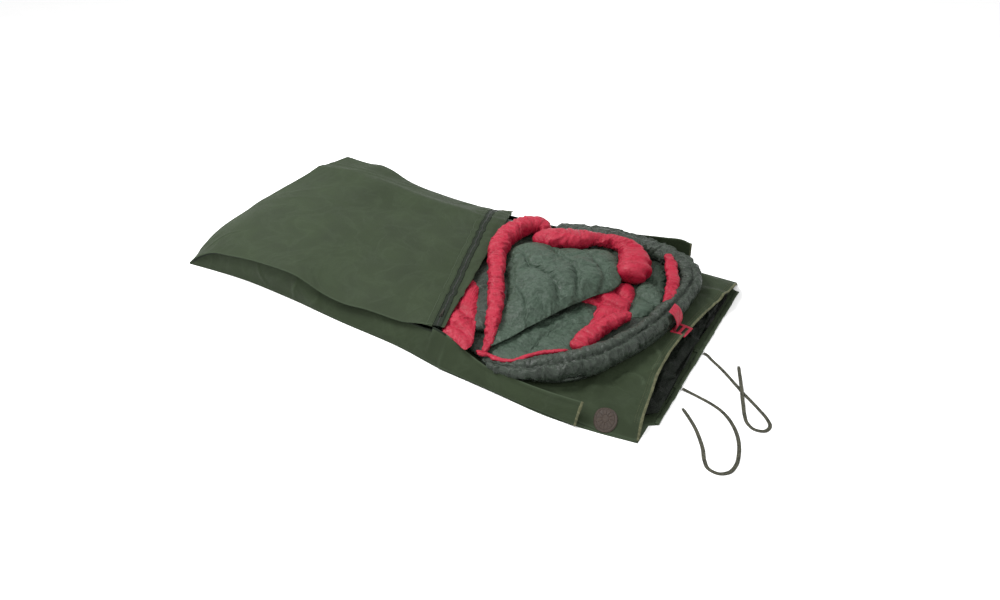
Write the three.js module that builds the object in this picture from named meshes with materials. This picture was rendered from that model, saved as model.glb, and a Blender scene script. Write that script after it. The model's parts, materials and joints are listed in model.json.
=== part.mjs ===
// Canvas bivy sack laid open on the ground: a groundsheet with a pad sleeve, side and foot walls, a
// fold-back cover with a zip across its edge, two tie cords at the sleeve's mouth, and the down
// sleeping bag that it carries, unzipped and turned back at its hood end.
//
// Frame: millimetres. +X runs from the foot to the head, +Y to the far side, +Z up. The origin is on
// the underside of the groundsheet, at the middle of the sack.
import * as THREE from 'three';

// ---------------------------------------------------------------- driving dimensions
const HALF_LENGTH = 1048; // foot seam to the middle, and the middle to the head corners
const HALF_WIDTH = 545; // middle to a side seam
const CANVAS = 2; // a canvas panel with its turned edges
const GAP = 0.4; // between pieces that touch

const LIP_REACH = 28; // the groundsheet's lip, past the head corners
const LIP_NEAR = -440; // where the lip starts and ends across the sack
const LIP_FAR = 478;

const PAD_BOTTOM = 10; // the sleeping pad in its sleeve
const PAD_TOP = 38;
const PAD_HALF_WIDTH = 436;
const PAD_FOOT = -960;
const PAD_HEAD = HALF_LENGTH + 12;

const SLEEVE_INSET = 8; // sleeve seam to the groundsheet's edge
const SLEEVE_SLOPE = 64; // width of the slope from the seam up to the pad's top
const SLEEVE_UNDER = PAD_TOP + 1; // underside of the sleeve's canvas over the pad
const HEM_BOW = 46; // how far the mouth's hem bows back from a straight line

const FLAP_START = 300; // where the side walls come free of the cover
const NEAR_FLAP_END = 850;
const FAR_FLAP_END = 836;
const WALL_LEAN = 48; // how far a fixed wall leans in at its top

const FOLD_X = -450; // the line that the cover folds back on
const COVER_OVERHANG = 14; // cover edge past the wall's top

const BAG_FLOOR = 45; // underside of the sleeping bag
const QUILT = 22; // thickness of a quilt layer
const SLEEPER_GAP = 14; // between the lower and the upper quilt
const BASE_TOP = BAG_FLOOR + QUILT;
const TOP_UNDER = BASE_TOP + SLEEPER_GAP;
const TOP_TOP = TOP_UNDER + QUILT - 2;
const HOOD_LINE = 796; // where the hood hinges on the bag's base

const TAPE_WIDTH = 12; // tie cord, a flat tape
const TAPE_THICK = 1.8;

// ---------------------------------------------------------------- colours
const finish = (color, roughness = 0.9, metalness = 0) =>
  new THREE.MeshStandardMaterial({ color, roughness, metalness });
const canvas = finish(0x3d4a38);
const palehem = finish(0x8a8a66);
const zipTape = finish(0x20281f);
const coil = finish(0x161a17, 0.5);
const metal = finish(0x3a3a38, 0.4, 0.9);
const leather = finish(0x4b3f36, 0.7);
const padCloth = finish(0x151c17, 0.6);
const shell = finish(0x2f3b38, 0.7);
const lining = finish(0x62736b, 0.6);
const red = finish(0xc22d4a, 0.6);
const blackPlastic = finish(0x111111, 0.5);
const cordTape = finish(0x6a665c, 0.9);

const sack = new THREE.Group();

// ---------------------------------------------------------------- helpers
const lerp = (a, b, t) => a + (b - a) * t;
const clamp01 = (t) => Math.min(1, Math.max(0, t));
const smooth = (a, b, t) => {
  const s = clamp01((t - a) / (b - a));
  return s * s * (3 - 2 * s);
};
const point = (x, y, z) => new THREE.Vector3(x, y, z);

// Turns a closed body's faces to point outwards if its signed volume is negative.
function outward(geometry) {
  const at = geometry.getAttribute('position');
  const index = geometry.index ? Array.from(geometry.index.array) : Array.from({ length: at.count }, (_, i) => i);
  const corner = (k) => new THREE.Vector3().fromBufferAttribute(at, index[k]);
  let volume = 0;
  for (let k = 0; k < index.length; k += 3) volume += corner(k).dot(corner(k + 1).cross(corner(k + 2)));
  if (volume < 0) {
    for (let k = 0; k < index.length; k += 3) [index[k], index[k + 1]] = [index[k + 1], index[k]];
    geometry.setIndex(index);
  }
  return geometry;
}

function add(name, geometry, material) {
  const mesh = new THREE.Mesh(outward(geometry), material);
  mesh.name = name;
  sack.add(mesh);
  return mesh;
}

// Smooth curve through (x, y) stations, read as y at x.
function curveThrough(stations) {
  return (x) => {
    const last = stations.length - 1;
    if (x <= stations[0][0]) return stations[0][1];
    if (x >= stations[last][0]) return stations[last][1];
    const i = stations.findIndex(([sx], k) => k < last && x <= stations[k + 1][0] && x >= sx);
    const [x0, y0] = stations[i];
    const [x1, y1] = stations[i + 1];
    return lerp(y0, y1, smooth(x0, x1, x));
  };
}

// A cloth panel: a thin box of nu by nv cells. surface(u, v) places its inner face, and every point
// of the outer face stands off it by the vector that push(u, v) gives.
function panel(nu, nv, surface, push = () => point(0, 0, CANVAS)) {
  const box = new THREE.BoxGeometry(1, 1, 1, nu, nv, 1);
  const at = box.getAttribute('position');
  for (let i = 0; i < at.count; i++) {
    const u = at.getX(i) + 0.5;
    const v = at.getY(i) + 0.5;
    const place = surface(u, v);
    if (at.getZ(i) > 0) place.add(push(u, v));
    at.setXYZ(i, place.x, place.y, place.z);
  }
  return box;
}

// A stuffed slab with rounded edges, from a smooth closed outline of [x, y] points.
function stuffed(outline, bottom, top, rounding, points = 28) {
  const loop = new THREE.CatmullRomCurve3(outline.map(([x, y]) => point(x, y, 0)), true);
  const shape = new THREE.Shape(loop.getSpacedPoints(points).slice(0, -1).map((p) => new THREE.Vector2(p.x, p.y)));
  const geometry = new THREE.ExtrudeGeometry(shape, {
    depth: top - bottom - 2 * rounding,
    bevelThickness: rounding,
    bevelSize: rounding,
    bevelOffset: -rounding,
    bevelSegments: 2,
    steps: 1,
  });
  return geometry.translate(0, 0, bottom + rounding);
}

// A roll of a constant round section along a smooth path of [x, y, z] points.
function roll(path, radius, steps = 18, sides = 10) {
  const circle = new THREE.Shape().absarc(0, 0, radius, 0, 2 * Math.PI);
  const section = new THREE.Shape(circle.getSpacedPoints(sides).slice(0, -1));
  return new THREE.ExtrudeGeometry(section, {
    extrudePath: new THREE.CatmullRomCurve3(path.map((p) => point(...p))),
    steps,
    bevelEnabled: false,
  });
}

// Frames along a curve whose normals stay as near to upright as the curve allows.
function levelFrames(curve, steps) {
  const frames = { tangents: [], normals: [], binormals: [] };
  for (let i = 0; i <= steps; i++) {
    const tangent = curve.getTangentAt(i / steps);
    const binormal = new THREE.Vector3().crossVectors(tangent, point(0, 0, 1)).normalize();
    frames.tangents.push(tangent);
    frames.binormals.push(binormal);
    frames.normals.push(new THREE.Vector3().crossVectors(binormal, tangent));
  }
  return frames;
}

// A flat strip, wide across the ground and thin upwards, along a path of [x, y, z] points.
function flatStrip(path, width, thick, steps) {
  const w = width / 2;
  const t = thick / 2;
  const section = new THREE.Shape([
    [-t, -w + t], [-t / 2, -w], [t / 2, -w], [t, -w + t],
    [t, w - t], [t / 2, w], [-t / 2, w], [-t, w - t],
  ].map((p) => new THREE.Vector2(...p)));
  const curve = new THREE.CatmullRomCurve3(path.map((p) => point(...p)));
  curve.computeFrenetFrames = (count) => levelFrames(curve, count);
  return new THREE.ExtrudeGeometry(section, { extrudePath: curve, steps, bevelEnabled: false });
}

// ---------------------------------------------------------------- groundsheet and lip
// The near seam lies in a slight wave on the ground.
const nearSeam = curveThrough(
  [[-HALF_LENGTH, -545], [-600, -518], [120, -546], [FLAP_START, -577], [760, -588], [HALF_LENGTH, -548]],
);
const NEAR_HINGE_Y = -572; // the free side walls hinge on these lines
const FAR_HINGE_Y = HALF_WIDTH - 3;
const HINGE_Z = 6;

function makeGroundsheet() {
  const near = [];
  for (let x = -HALF_LENGTH; x <= HALF_LENGTH; x += HALF_LENGTH / 10) near.push([x, nearSeam(x)]);
  const outline = [
    ...near,
    [HALF_LENGTH, LIP_NEAR - 8], [HALF_LENGTH + LIP_REACH, LIP_NEAR],
    [HALF_LENGTH + LIP_REACH, LIP_FAR], [HALF_LENGTH, LIP_FAR + 8],
    [HALF_LENGTH, HALF_WIDTH], [-HALF_LENGTH, HALF_WIDTH],
  ];
  const shape = new THREE.Shape(outline.map((p) => new THREE.Vector2(...p)));
  add('groundsheet', new THREE.ExtrudeGeometry(shape, { depth: CANVAS, bevelEnabled: false }), canvas);
}

// The lip's turned hem, and the two tabs that hold the tie cords.
const LIP_HEM_WIDTH = 14;
const TAB_Y = [-230, 0];
const TAB_WIDTH = 18;
const TAB_TOP = CANVAS + GAP + CANVAS + GAP + CANVAS;

function makeLip() {
  const outer = HALF_LENGTH + LIP_REACH - 1;
  const strip = (y0, y1, x0, x1, z, thick) =>
    panel(1, 1, (u, v) => point(lerp(x0, x1, u), lerp(y0, y1, v), z), () => point(0, 0, thick));
  add('lip_hem', strip(LIP_NEAR + 4, LIP_FAR - 4, outer - LIP_HEM_WIDTH, outer, CANVAS + GAP, CANVAS), palehem);
  TAB_Y.forEach((y, i) => {
    const z = TAB_TOP - CANVAS;
    const name = i === 0 ? 'cord_tab_near' : 'cord_tab_far';
    add(name, strip(y - TAB_WIDTH / 2, y + TAB_WIDTH / 2, outer - 30, outer + 3, z, CANVAS), canvas);
  });
}

// ---------------------------------------------------------------- sleeping pad and its sleeve
function makePad() {
  const w = PAD_HALF_WIDTH;
  const shape = new THREE.Shape([[PAD_FOOT, -w], [PAD_HEAD, -w], [PAD_HEAD, w], [PAD_FOOT, w]]
    .map((p) => new THREE.Vector2(...p)));
  const rounding = 7;
  const geometry = new THREE.ExtrudeGeometry(shape, {
    depth: PAD_TOP - PAD_BOTTOM - 2 * rounding,
    bevelThickness: rounding,
    bevelSize: rounding,
    bevelOffset: -rounding,
    bevelSegments: 2,
  });
  add('sleeping_pad', geometry.translate(0, 0, PAD_BOTTOM + rounding), padCloth);
}

// The mouth's hem bows back towards the foot, most at the near third.
const hemLine = (y) => HALF_LENGTH + 4 - HEM_BOW * Math.exp(-(((y + 210) / 260) ** 2));
const sleeveNear = (x) => Math.max(nearSeam(x), NEAR_HINGE_Y) + SLEEVE_INSET;
const sleeveFar = HALF_WIDTH - SLEEVE_INSET;

// Underside of the sleeve's canvas: on the ground at its three seams and over the pad between them.
function sleeveUnder(x, y) {
  const fromSeam = Math.min(y - sleeveNear(x), sleeveFar - y, x + HALF_LENGTH - SLEEVE_INSET);
  return CANVAS + GAP + (SLEEVE_UNDER - CANVAS - GAP) * clamp01(fromSeam / SLEEVE_SLOPE);
}

const ALONG = 14; // the sleeve's cells, with one of slope at the foot and at each side
const ACROSS = 14;

function sleevePlace(u, v) {
  const i = u * ALONG;
  const j = v * ACROSS;
  const foot = -HALF_LENGTH + SLEEVE_INSET;
  const level = foot + SLEEVE_SLOPE;
  const straight = i <= 1 ? lerp(foot, level, i) : lerp(level, HALF_LENGTH, (i - 1) / (ALONG - 1));
  const near = sleeveNear(straight);
  let y = lerp(near + SLEEVE_SLOPE, sleeveFar - SLEEVE_SLOPE, (j - 1) / (ACROSS - 2));
  if (j <= 1) y = near + j * SLEEVE_SLOPE;
  if (j >= ACROSS - 1) y = sleeveFar - (ACROSS - j) * SLEEVE_SLOPE;
  const toMouth = Math.max(0, straight / HALF_LENGTH);
  const x = lerp(straight, toMouth * hemLine(y), toMouth);
  const rise = clamp01(Math.min(i, j, ACROSS - j));
  return point(x, y, lerp(CANVAS + GAP, SLEEVE_UNDER, rise));
}

function makeSleeve() {
  add('sleeve_top', panel(ALONG, ACROSS, sleevePlace), canvas);
  const onHem = (u, v) =>
    sleevePlace(1 - 1 / ALONG, v).lerp(sleevePlace(1, v), lerp(0.88, 0.98, u)).add(point(0, 0, CANVAS + 2 * GAP));
  add('mouth_hem', panel(1, ACROSS, onHem, () => point(0, 0, 1.4)), palehem);
}

// A round leather patch on the near slope of the sleeve, close to the head corner.
const PATCH_RADIUS = 39;
const PATCH_THICK = 2.2;

function makePatch() {
  const profile = [[0, 0], [PATCH_RADIUS, 0], [PATCH_RADIUS, 1.4], [PATCH_RADIUS - 1, PATCH_THICK], [0, PATCH_THICK]]
    .map((p) => new THREE.Vector2(...p));
  const patch = add('leather_patch', new THREE.LatheGeometry(profile, 40), leather);
  // The cell of the sleeve's slope that the patch is sewn to.
  const cell = [0, 1].flatMap((v) => [ALONG - 1, ALONG].map((i) => sleevePlace(i / ALONG, v / ACROSS)));
  const along = cell[1].clone().add(cell[3]).sub(cell[0]).sub(cell[2]).normalize();
  const up = cell[2].clone().add(cell[3]).sub(cell[0]).sub(cell[1]).normalize();
  const out = new THREE.Vector3().crossVectors(along, up).normalize();
  const centre = cell[0].clone().lerp(cell[1], 0.26).lerp(cell[2].clone().lerp(cell[3], 0.26), 0.5);
  patch.quaternion.setFromUnitVectors(point(0, 1, 0), out);
  patch.position.copy(centre).addScaledVector(out, CANVAS + 0.9);
}

// ---------------------------------------------------------------- walls
// Heights of the cover's two side edges and its crown, at stations along the sack.
const nearEdge = curveThrough(
  [[-HALF_LENGTH, 34], [-930, 88], [-785, 114], [-500, 136], [-200, 86], [100, 98], [FLAP_START, 114]],
);
const farEdge = curveThrough([[-HALF_LENGTH, 120], [-780, 118], [-430, 56], [FLAP_START, 58]]);
const crown = curveThrough([[-HALF_LENGTH, 146], [-820, 178], [-420, 158], [300, 146]]);
const CROWN_SHIFT = 0.06; // the crown lies a little to the far side of the middle

const wallTopNear = -HALF_WIDTH + WALL_LEAN;
const wallTopFar = HALF_WIDTH - WALL_LEAN;

// Underside of the cover, over the whole sack.
function coverUnder(x, y) {
  const t = clamp01((y - wallTopNear) / (wallTopFar - wallTopNear));
  const side = lerp(nearEdge(x), farEdge(x), smooth(0, 1, t));
  const middle = clamp01(1 - Math.abs((t - 0.5 - CROWN_SHIFT) / (0.5 + Math.sign(0.5 + CROWN_SHIFT - t) * CROWN_SHIFT)) ** 2.2);
  return side + (crown(x) - lerp(nearEdge(x), farEdge(x), 0.5)) * middle;
}

const WALL_CLEAR = 9; // wall top to the cover, room for the side zip

function makeWalls() {
  const nearWall = (u, v) => {
    const x = lerp(-HALF_LENGTH + 14, FLAP_START - 4, u);
    const top = coverUnder(x, wallTopNear) - WALL_CLEAR;
    return point(x, lerp(nearSeam(x) + 4, wallTopNear, v), lerp(CANVAS + GAP + 0.6, top, v));
  };
  add('near_wall', panel(16, 2, nearWall, () => point(0, -CANVAS, 0)), canvas);

  const farWall = (u, v) => {
    const x = lerp(-HALF_LENGTH + 14, FLAP_START - 4, u);
    const top = coverUnder(x, wallTopFar) - WALL_CLEAR;
    return point(x, lerp(HALF_WIDTH - 3.5, wallTopFar, v), lerp(CANVAS + GAP + 0.6, top, v));
  };
  add('far_wall', panel(16, 2, farWall, () => point(0, CANVAS, 0)), canvas);

  const footWall = (u, v) => {
    const y = lerp(wallTopNear - 20, wallTopFar + 20, u);
    const x = -HALF_LENGTH + 2 + 2 * v;
    const inside = Math.min(wallTopFar, Math.max(wallTopNear, y));
    const top = coverUnder(-HALF_LENGTH + 12, inside) - 2;
    return point(x, y, lerp(CANVAS + GAP, top, v));
  };
  add('foot_wall', panel(14, 1, footWall, () => point(-CANVAS, 0, 0)), canvas);
}

// Zip chains that join the cover to the tops of the walls.
function makeSideZips() {
  const chain = (yTop) => (u, v) => {
    const x = lerp(-HALF_LENGTH + 14, FLAP_START - 4, u);
    return point(x, yTop + lerp(-5, 5, v), coverUnder(x, yTop) - WALL_CLEAR + 1.5);
  };
  add('near_side_zip', panel(16, 1, chain(wallTopNear), () => point(0, 0, 3)), zipTape);
  add('far_side_zip', panel(16, 1, chain(wallTopFar), () => point(0, 0, 3)), zipTape);
}

// The free heads of the side walls, which fold out flat, and the pale hems on their ends.
const nearFlapHeight = curveThrough([[FLAP_START, 100], [480, 58], [NEAR_FLAP_END, 64]]);
const nearFlapIn = curveThrough([[FLAP_START, 66], [480, 36], [NEAR_FLAP_END, 38]]);
const farFlapHeight = curveThrough([[FLAP_START, 60], [600, 108], [800, 138], [FAR_FLAP_END, 126]]);

function makeFlaps() {
  const nearFlap = (u, v) => {
    const x = lerp(FLAP_START, NEAR_FLAP_END, u);
    const lift = Math.sin((v * Math.PI) / 2);
    return point(x, lerp(NEAR_HINGE_Y, NEAR_HINGE_Y + nearFlapIn(x), v * v), HINGE_Z + (nearFlapHeight(x) - HINGE_Z) * lift);
  };
  add('near_flap', panel(8, 4, nearFlap, () => point(0, -CANVAS, 0)), canvas);
  const nearHem = (u, v) => {
    const place = nearFlap(lerp(0.982, 0.999, u), lerp(0.04, 0.98, v));
    return place.add(point(0, -CANVAS - GAP, 0));
  };
  add('near_flap_hem', panel(1, 4, nearHem, () => point(0, -1.4, 0)), palehem);

  const farFlap = (u, v) => {
    const x = lerp(FLAP_START, FAR_FLAP_END, u);
    return point(x, FAR_HINGE_Y - 14 * v * v, lerp(HINGE_Z, farFlapHeight(x), v));
  };
  add('far_flap', panel(8, 3, farFlap, () => point(0, CANVAS, 0)), canvas);
  const farHem = (u, v) => farFlap(lerp(0.98, 0.999, u), lerp(0.04, 0.98, v)).add(point(0, CANVAS + GAP, 0));
  add('far_flap_hem', panel(1, 3, farHem, () => point(0, 1.4, 0)), palehem);
}

// ---------------------------------------------------------------- cover and the zip across it
// The zip's line: straight over the bag, from near to far, then down to the far wall.
const ZIP_NEAR = point(232, -497, 118);
const ZIP_BEND = point(-28, 250, 139);
const ZIP_FAR = point(-118, 492, 58);
const ZIP_BEND_AT = 0.76; // share of its length where the straight part ends

function zipLine(v) {
  if (v <= ZIP_BEND_AT) return ZIP_NEAR.clone().lerp(ZIP_BEND, v / ZIP_BEND_AT);
  const t = (v - ZIP_BEND_AT) / (1 - ZIP_BEND_AT);
  const place = ZIP_BEND.clone().lerp(ZIP_FAR, t);
  place.z += 16 * Math.sin(Math.PI * t);
  return place;
}
const zipDirection = ZIP_BEND.clone().sub(ZIP_NEAR).normalize();
const towardsHead = point(-zipDirection.y, zipDirection.x, 0).negate().normalize();

// Strips that run along the zip, from one distance to another on its head side.
const besideZip = (from, to, lift) => (u, v) =>
  zipLine(v).addScaledVector(towardsHead, lerp(from, to, u)).add(point(0, 0, lift));

const coverNearY = wallTopNear - COVER_OVERHANG;
const coverFarY = wallTopFar + COVER_OVERHANG;
const COVER_HEM = 26;

function makeCover() {
  const footCover = (u, v) => {
    const x = lerp(-HALF_LENGTH - 2, FOLD_X - 0.6, u);
    return point(x, lerp(coverNearY, coverFarY, v), coverUnder(x, lerp(wallTopNear, wallTopFar, v)));
  };
  add('foot_cover', panel(10, 12, footCover), canvas);

  // The head half is lofted from the fold line to the edge of its hem beside the zip.
  const hemEdge = besideZip(-COVER_HEM, -COVER_HEM, 0);
  const headCover = (u, v) => {
    const fold = point(FOLD_X + 0.6, lerp(coverNearY, coverFarY, v), coverUnder(FOLD_X, lerp(wallTopNear, wallTopFar, v)));
    const edge = hemEdge(0, v);
    const place = fold.clone().lerp(edge, u);
    const draped = coverUnder(place.x, place.y) * (1 - u) + place.z * u;
    place.z = u < 0.999 ? lerp(fold.z, draped, smooth(0, 0.35, u)) : edge.z;
    return place;
  };
  add('head_cover', panel(8, 12, headCover), canvas);
  add('cover_hem', panel(1, 12, besideZip(-COVER_HEM + GAP, -0.5, 0), () => point(0, 0, 2.6)), canvas);
}

const TAPE = 11; // width of each zip tape
const COIL = 6; // width of the zip's coil

function makeCoverZip() {
  add('zip_tape_foot', panel(1, 12, besideZip(0, TAPE, 0), () => point(0, 0, 1.4)), zipTape);
  add('zip_coil', panel(1, 12, besideZip(TAPE + GAP, TAPE + COIL, 0), () => point(0, 0, 3)), coil);
  add('zip_tape_head', panel(1, 12, besideZip(TAPE + COIL + GAP, 2 * TAPE + COIL, 0), () => point(0, 0, 1.4)), zipTape);
  const start = 2 * TAPE + COIL + GAP;
  const facing = (u, v) => besideZip(start, start + lerp(16, 78, v), 0)(u, v).add(point(0, 0, -8 * u));
  add('cover_facing', panel(1, 12, facing), canvas);
}

// The slider straddles the coil; its frame runs along the zip. The pull hangs on a bridge over it.
const SLIDER_AT = 0.06; // share of the zip's length where it is parked
const SLIDER_LENGTH = 15;
const SLIDER_WIDTH = 10.5;

function makeSlider() {
  const up = new THREE.Vector3().crossVectors(towardsHead, zipDirection).normalize();
  const across = new THREE.Vector3().crossVectors(up, zipDirection);
  const home = zipLine(SLIDER_AT).addScaledVector(towardsHead, TAPE + COIL / 2 + GAP / 2);
  const place = new THREE.Matrix4().makeBasis(zipDirection, across, up).setPosition(home);

  // Section across the zip: an inverted channel over the coil, with a bridge on top.
  const half = SLIDER_WIDTH / 2;
  const inner = COIL / 2 + 0.6;
  const section = new THREE.Shape([
    [-half, 2.2], [-inner, 2.2], [-inner, 3.9], [inner, 3.9], [inner, 2.2], [half, 2.2], [half, 5.2], [-half, 5.2],
  ].map((p) => new THREE.Vector2(...p)));
  const body = new THREE.ExtrudeGeometry(section, { depth: SLIDER_LENGTH, bevelEnabled: false });
  // The section's x runs across the zip and its y up; the extrusion runs along the zip.
  body.applyMatrix4(new THREE.Matrix4().makeBasis(point(0, 1, 0), point(0, 0, 1), point(1, 0, 0)));
  body.translate(-SLIDER_LENGTH / 2, 0, 0);
  body.applyMatrix4(place);
  add('zip_slider', body, metal);

  // The bridge: an arch from front to back that the pull's ring hangs on.
  const arch = new THREE.Shape([[-5, 0], [-5, 3.6], [5, 3.6], [5, 0], [3.6, 0], [3.6, 2.4], [-3.6, 2.4], [-3.6, 0]]
    .map((p) => new THREE.Vector2(...p)));
  const bridge = new THREE.ExtrudeGeometry(arch, { depth: 2.4, bevelEnabled: false });
  bridge.applyMatrix4(new THREE.Matrix4().makeBasis(point(1, 0, 0), point(0, 0, 1), point(0, -1, 0)));
  bridge.translate(0, 1.2, 5.2 + GAP);
  bridge.applyMatrix4(place);
  add('zip_bridge', bridge, metal);

  // The pull: a flat tab with a window that the bridge's bar passes through.
  const outline = new THREE.Shape([[-1.6, -3.4], [30, -2.6], [34, 0], [30, 2.6], [-1.6, 3.4]]
    .map((p) => new THREE.Vector2(...p)));
  outline.holes.push(new THREE.Path([[-0.4, -1.7], [-0.4, 1.7], [5, 1.7], [5, -1.7]]
    .map((p) => new THREE.Vector2(...p))));
  const pull = new THREE.ExtrudeGeometry(outline, { depth: 1.2, bevelEnabled: false });
  pull.translate(3.5, 0, 6.2);
  pull.applyMatrix4(place);
  add('zip_pull', pull, metal);
}

// ---------------------------------------------------------------- sleeping bag: quilts and baffles
const bagBase = [
  [-955, 60], [-900, -70], [-600, -180], [-200, -320], [100, -410], [330, -474], [430, -520], [540, -525],
  [650, -505], [735, -458], [HOOD_LINE - 14, -385], [HOOD_LINE - 8, -200], [HOOD_LINE - 8, 0], [HOOD_LINE - 8, 200],
  [HOOD_LINE - 14, 420], [740, 470], [600, 500], [480, 490], [330, 450], [100, 435], [-200, 415],
  [-600, 355], [-880, 290],
];
const bagTop = [
  [-945, 80], [-890, -40], [-600, -150], [-200, -285], [100, -375], [280, -405], [400, -395], [450, -310],
  [478, -160], [515, -65], [565, 15], [620, 95], [655, 185], [640, 300], [560, 390], [440, 425],
  [330, 415], [100, 395], [-200, 362], [-600, 305], [-870, 255],
];

function makeQuilts() {
  add('bag_base', stuffed(bagBase, BAG_FLOOR, BASE_TOP, 8, 44), shell);
  add('bag_top', stuffed(bagTop, TOP_UNDER, TOP_TOP, 7, 40), shell);
  // Baffles sewn between the two quilts along the sides and round the foot.
  const baffle = (path) => flatStrip(path.map(([x, y]) => [x, y, (BASE_TOP + TOP_UNDER) / 2]), 26, SLEEPER_GAP - 2 * GAP, 14);
  add('side_baffle_near', baffle([[-840, -30], [-600, -118], [-200, -250], [100, -340], [330, -370]]), shell);
  add('side_baffle_far', baffle([[-840, 235], [-600, 290], [-200, 345], [100, 365], [330, 380]]), shell);
  add('foot_baffle', baffle([[-890, 20], [-915, 60], [-925, 120], [-912, 180], [-885, 220]]), shell);
}

// The head end of the upper quilt, unzipped and folded back over the rest, lining up.
const quiltFold = [
  [225, 195], [192, 120], [238, 0], [338, -165], [412, -300], [448, -330], [474, -250], [486, -150],
  [522, -62], [572, 18], [626, 98], [660, 185], [632, 262], [560, 318], [450, 292], [330, 232],
];
const FOLD_TOP = 152;

const draftTubePath = [[258, 318, 136], [190, 338, 136], [140, 262, 136], [150, 140, 136], [196, 5, 136],
  [296, -175, 136], [370, -318, 134], [402, -395, 134]];
const collarQuiltPath = [[292, 276, 130], [352, 306, 130], [420, 345, 130], [505, 398, 130], [590, 402, 130], [660, 366, 130]];
const collarBulbPath = [[700, 322, 118], [728, 258, 118], [732, 190, 118], [718, 140, 118]];
const collarNearPath = [[712, -322, 90], [706, -258, 90], [712, -175, 90], [728, -110, 90], [752, -60, 90]];
const rimFarPath = [[268, 446, 96], [410, 474, 96], [520, 486, 96], [640, 482, 96], [742, 446, 96]];
const rimNearPath = [[586, -470, 96], [640, -462, 96], [704, -424, 96], [752, -378, 96]];

function makeFoldedQuilt() {
  add('quilt_fold', stuffed(quiltFold, TOP_TOP + GAP, FOLD_TOP, 20, 30), lining);
  add('draft_tube', roll(draftTubePath, 32, 22), red);
  add('collar_quilt', roll(collarQuiltPath, 25, 16), red);
  add('collar_bulb', roll(collarBulbPath, 44, 10, 12), red);
  add('collar_near', roll(collarNearPath, 21, 12), red);
  add('rim_far', roll(rimFarPath, 27, 14), shell);
  add('rim_near', roll(rimNearPath, 27, 14), shell);
  const facing = [[212, -166], [256, -226], [330, -340], [366, -420], [352, -452], [300, -446], [262, -400], [236, -300]];
  add('corner_facing', stuffed(facing, TOP_TOP + GAP, 126, 5, 20), red);
  const neck = [[588, -10], [640, 90], [668, 120], [688, 60], [690, -20], [682, -90], [640, -80]];
  add('neck_lining', stuffed(neck, BASE_TOP + GAP, BASE_TOP + 10, 3, 18), red);
}

// The bag's own zip, along the near edge of its base: tape, coil, slider and pull.
const BAG_ZIP = { start: 432, end: 548, y: -509, tape: 12, coil: 5 };

function makeBagZip() {
  const { start, end, y, tape, coil: coilWidth } = BAG_ZIP;
  const z = BASE_TOP + GAP;
  const band = (y0, y1) => (u, v) => point(lerp(start, end, v), lerp(y0, y1, u), z);
  const coilFrom = y + 0.5;
  add('bag_zip_tape', panel(1, 4, band(y - tape, y), () => point(0, 0, 1.6)), red);
  add('bag_zip_coil', panel(1, 4, band(coilFrom, coilFrom + coilWidth), () => point(0, 0, 2.4)), coil);
  const section = new THREE.Shape([
    [-4.6, 2], [-3, 2], [-3, 3.6], [3, 3.6], [3, 2], [4.6, 2], [4.6, 5], [-4.6, 5],
  ].map((p) => new THREE.Vector2(...p)));
  const slider = new THREE.ExtrudeGeometry(section, { depth: 12, bevelEnabled: false });
  slider.applyMatrix4(new THREE.Matrix4().makeBasis(point(0, 1, 0), point(0, 0, 1), point(1, 0, 0)));
  const middle = coilFrom + coilWidth / 2;
  add('bag_zip_slider', slider.translate(start + 6, middle, z), blackPlastic);
  const tab = new THREE.Shape([[0, -2.5], [26, -2.2], [29, 0], [26, 2.2], [0, 2.5]].map((p) => new THREE.Vector2(...p)));
  const pull = new THREE.ExtrudeGeometry(tab, { depth: 1.2, bevelEnabled: false });
  add('bag_zip_pull', pull.translate(start + 10, middle, z + 5.4), blackPlastic);
}

// ---------------------------------------------------------------- hood
const hoodBase = [
  [HOOD_LINE + 14, -350], [845, -280], [898, -160], [932, -40], [946, 100], [946, 230], [915, 350], [850, 425],
  [HOOD_LINE + 14, 420], [HOOD_LINE + 8, 250], [HOOD_LINE + 8, 60], [HOOD_LINE + 8, -150],
];
const hoodShell = [
  [832, 398], [884, 372], [920, 290], [934, 190], [934, 90], [920, -30], [888, -140], [852, -230],
  [846, -160], [872, -60], [896, 40], [902, 130], [888, 230], [850, 330],
];

function makeHood() {
  add('hood_base', stuffed(hoodBase, BAG_FLOOR, BASE_TOP, 8, 32), shell);
  add('hood_shell', stuffed(hoodShell, BASE_TOP + GAP, 112, 6, 34), shell);
  const padding = [[812, 240], [838, 215], [856, 150], [858, 70], [842, -20], [826, -80], [814, -20], [810, 110]];
  add('hood_lining', stuffed(padding, BASE_TOP + GAP, 92, 7, 20), lining);
  add('hood_strip', roll([[820, 316, 102], [846, 250, 104], [870, 176, 104], [877, 110, 104], [872, 52, 102]], 14, 10, 8), red);

  // The hang tab: a flat webbing loop with two windows, sewn to the hood's edge.
  const rect = (x0, y0, x1, y1) => [[x0, y0], [x1, y0], [x1, y1], [x0, y1]].map((p) => new THREE.Vector2(...p));
  const plate = new THREE.Shape(rect(0, -34, 58, 34));
  plate.holes.push(new THREE.Path(rect(16, -27, 48, -4)));
  plate.holes.push(new THREE.Path(rect(16, 4, 48, 27)));
  const tab = new THREE.ExtrudeGeometry(plate, { depth: 3, bevelEnabled: false });
  add('hang_tab', tab.rotateZ(-0.12).translate(950, 30, 52), red);
}

// The neck's drawcord comes out of the far rim and carries a sliding cord lock.
const DRAWCORD = { x: 768, z: 104, start: 426, end: 345, radius: 1.6 };
const LOCK = { at: 398, length: 20, radius: 7, bore: 2.1 };

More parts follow.
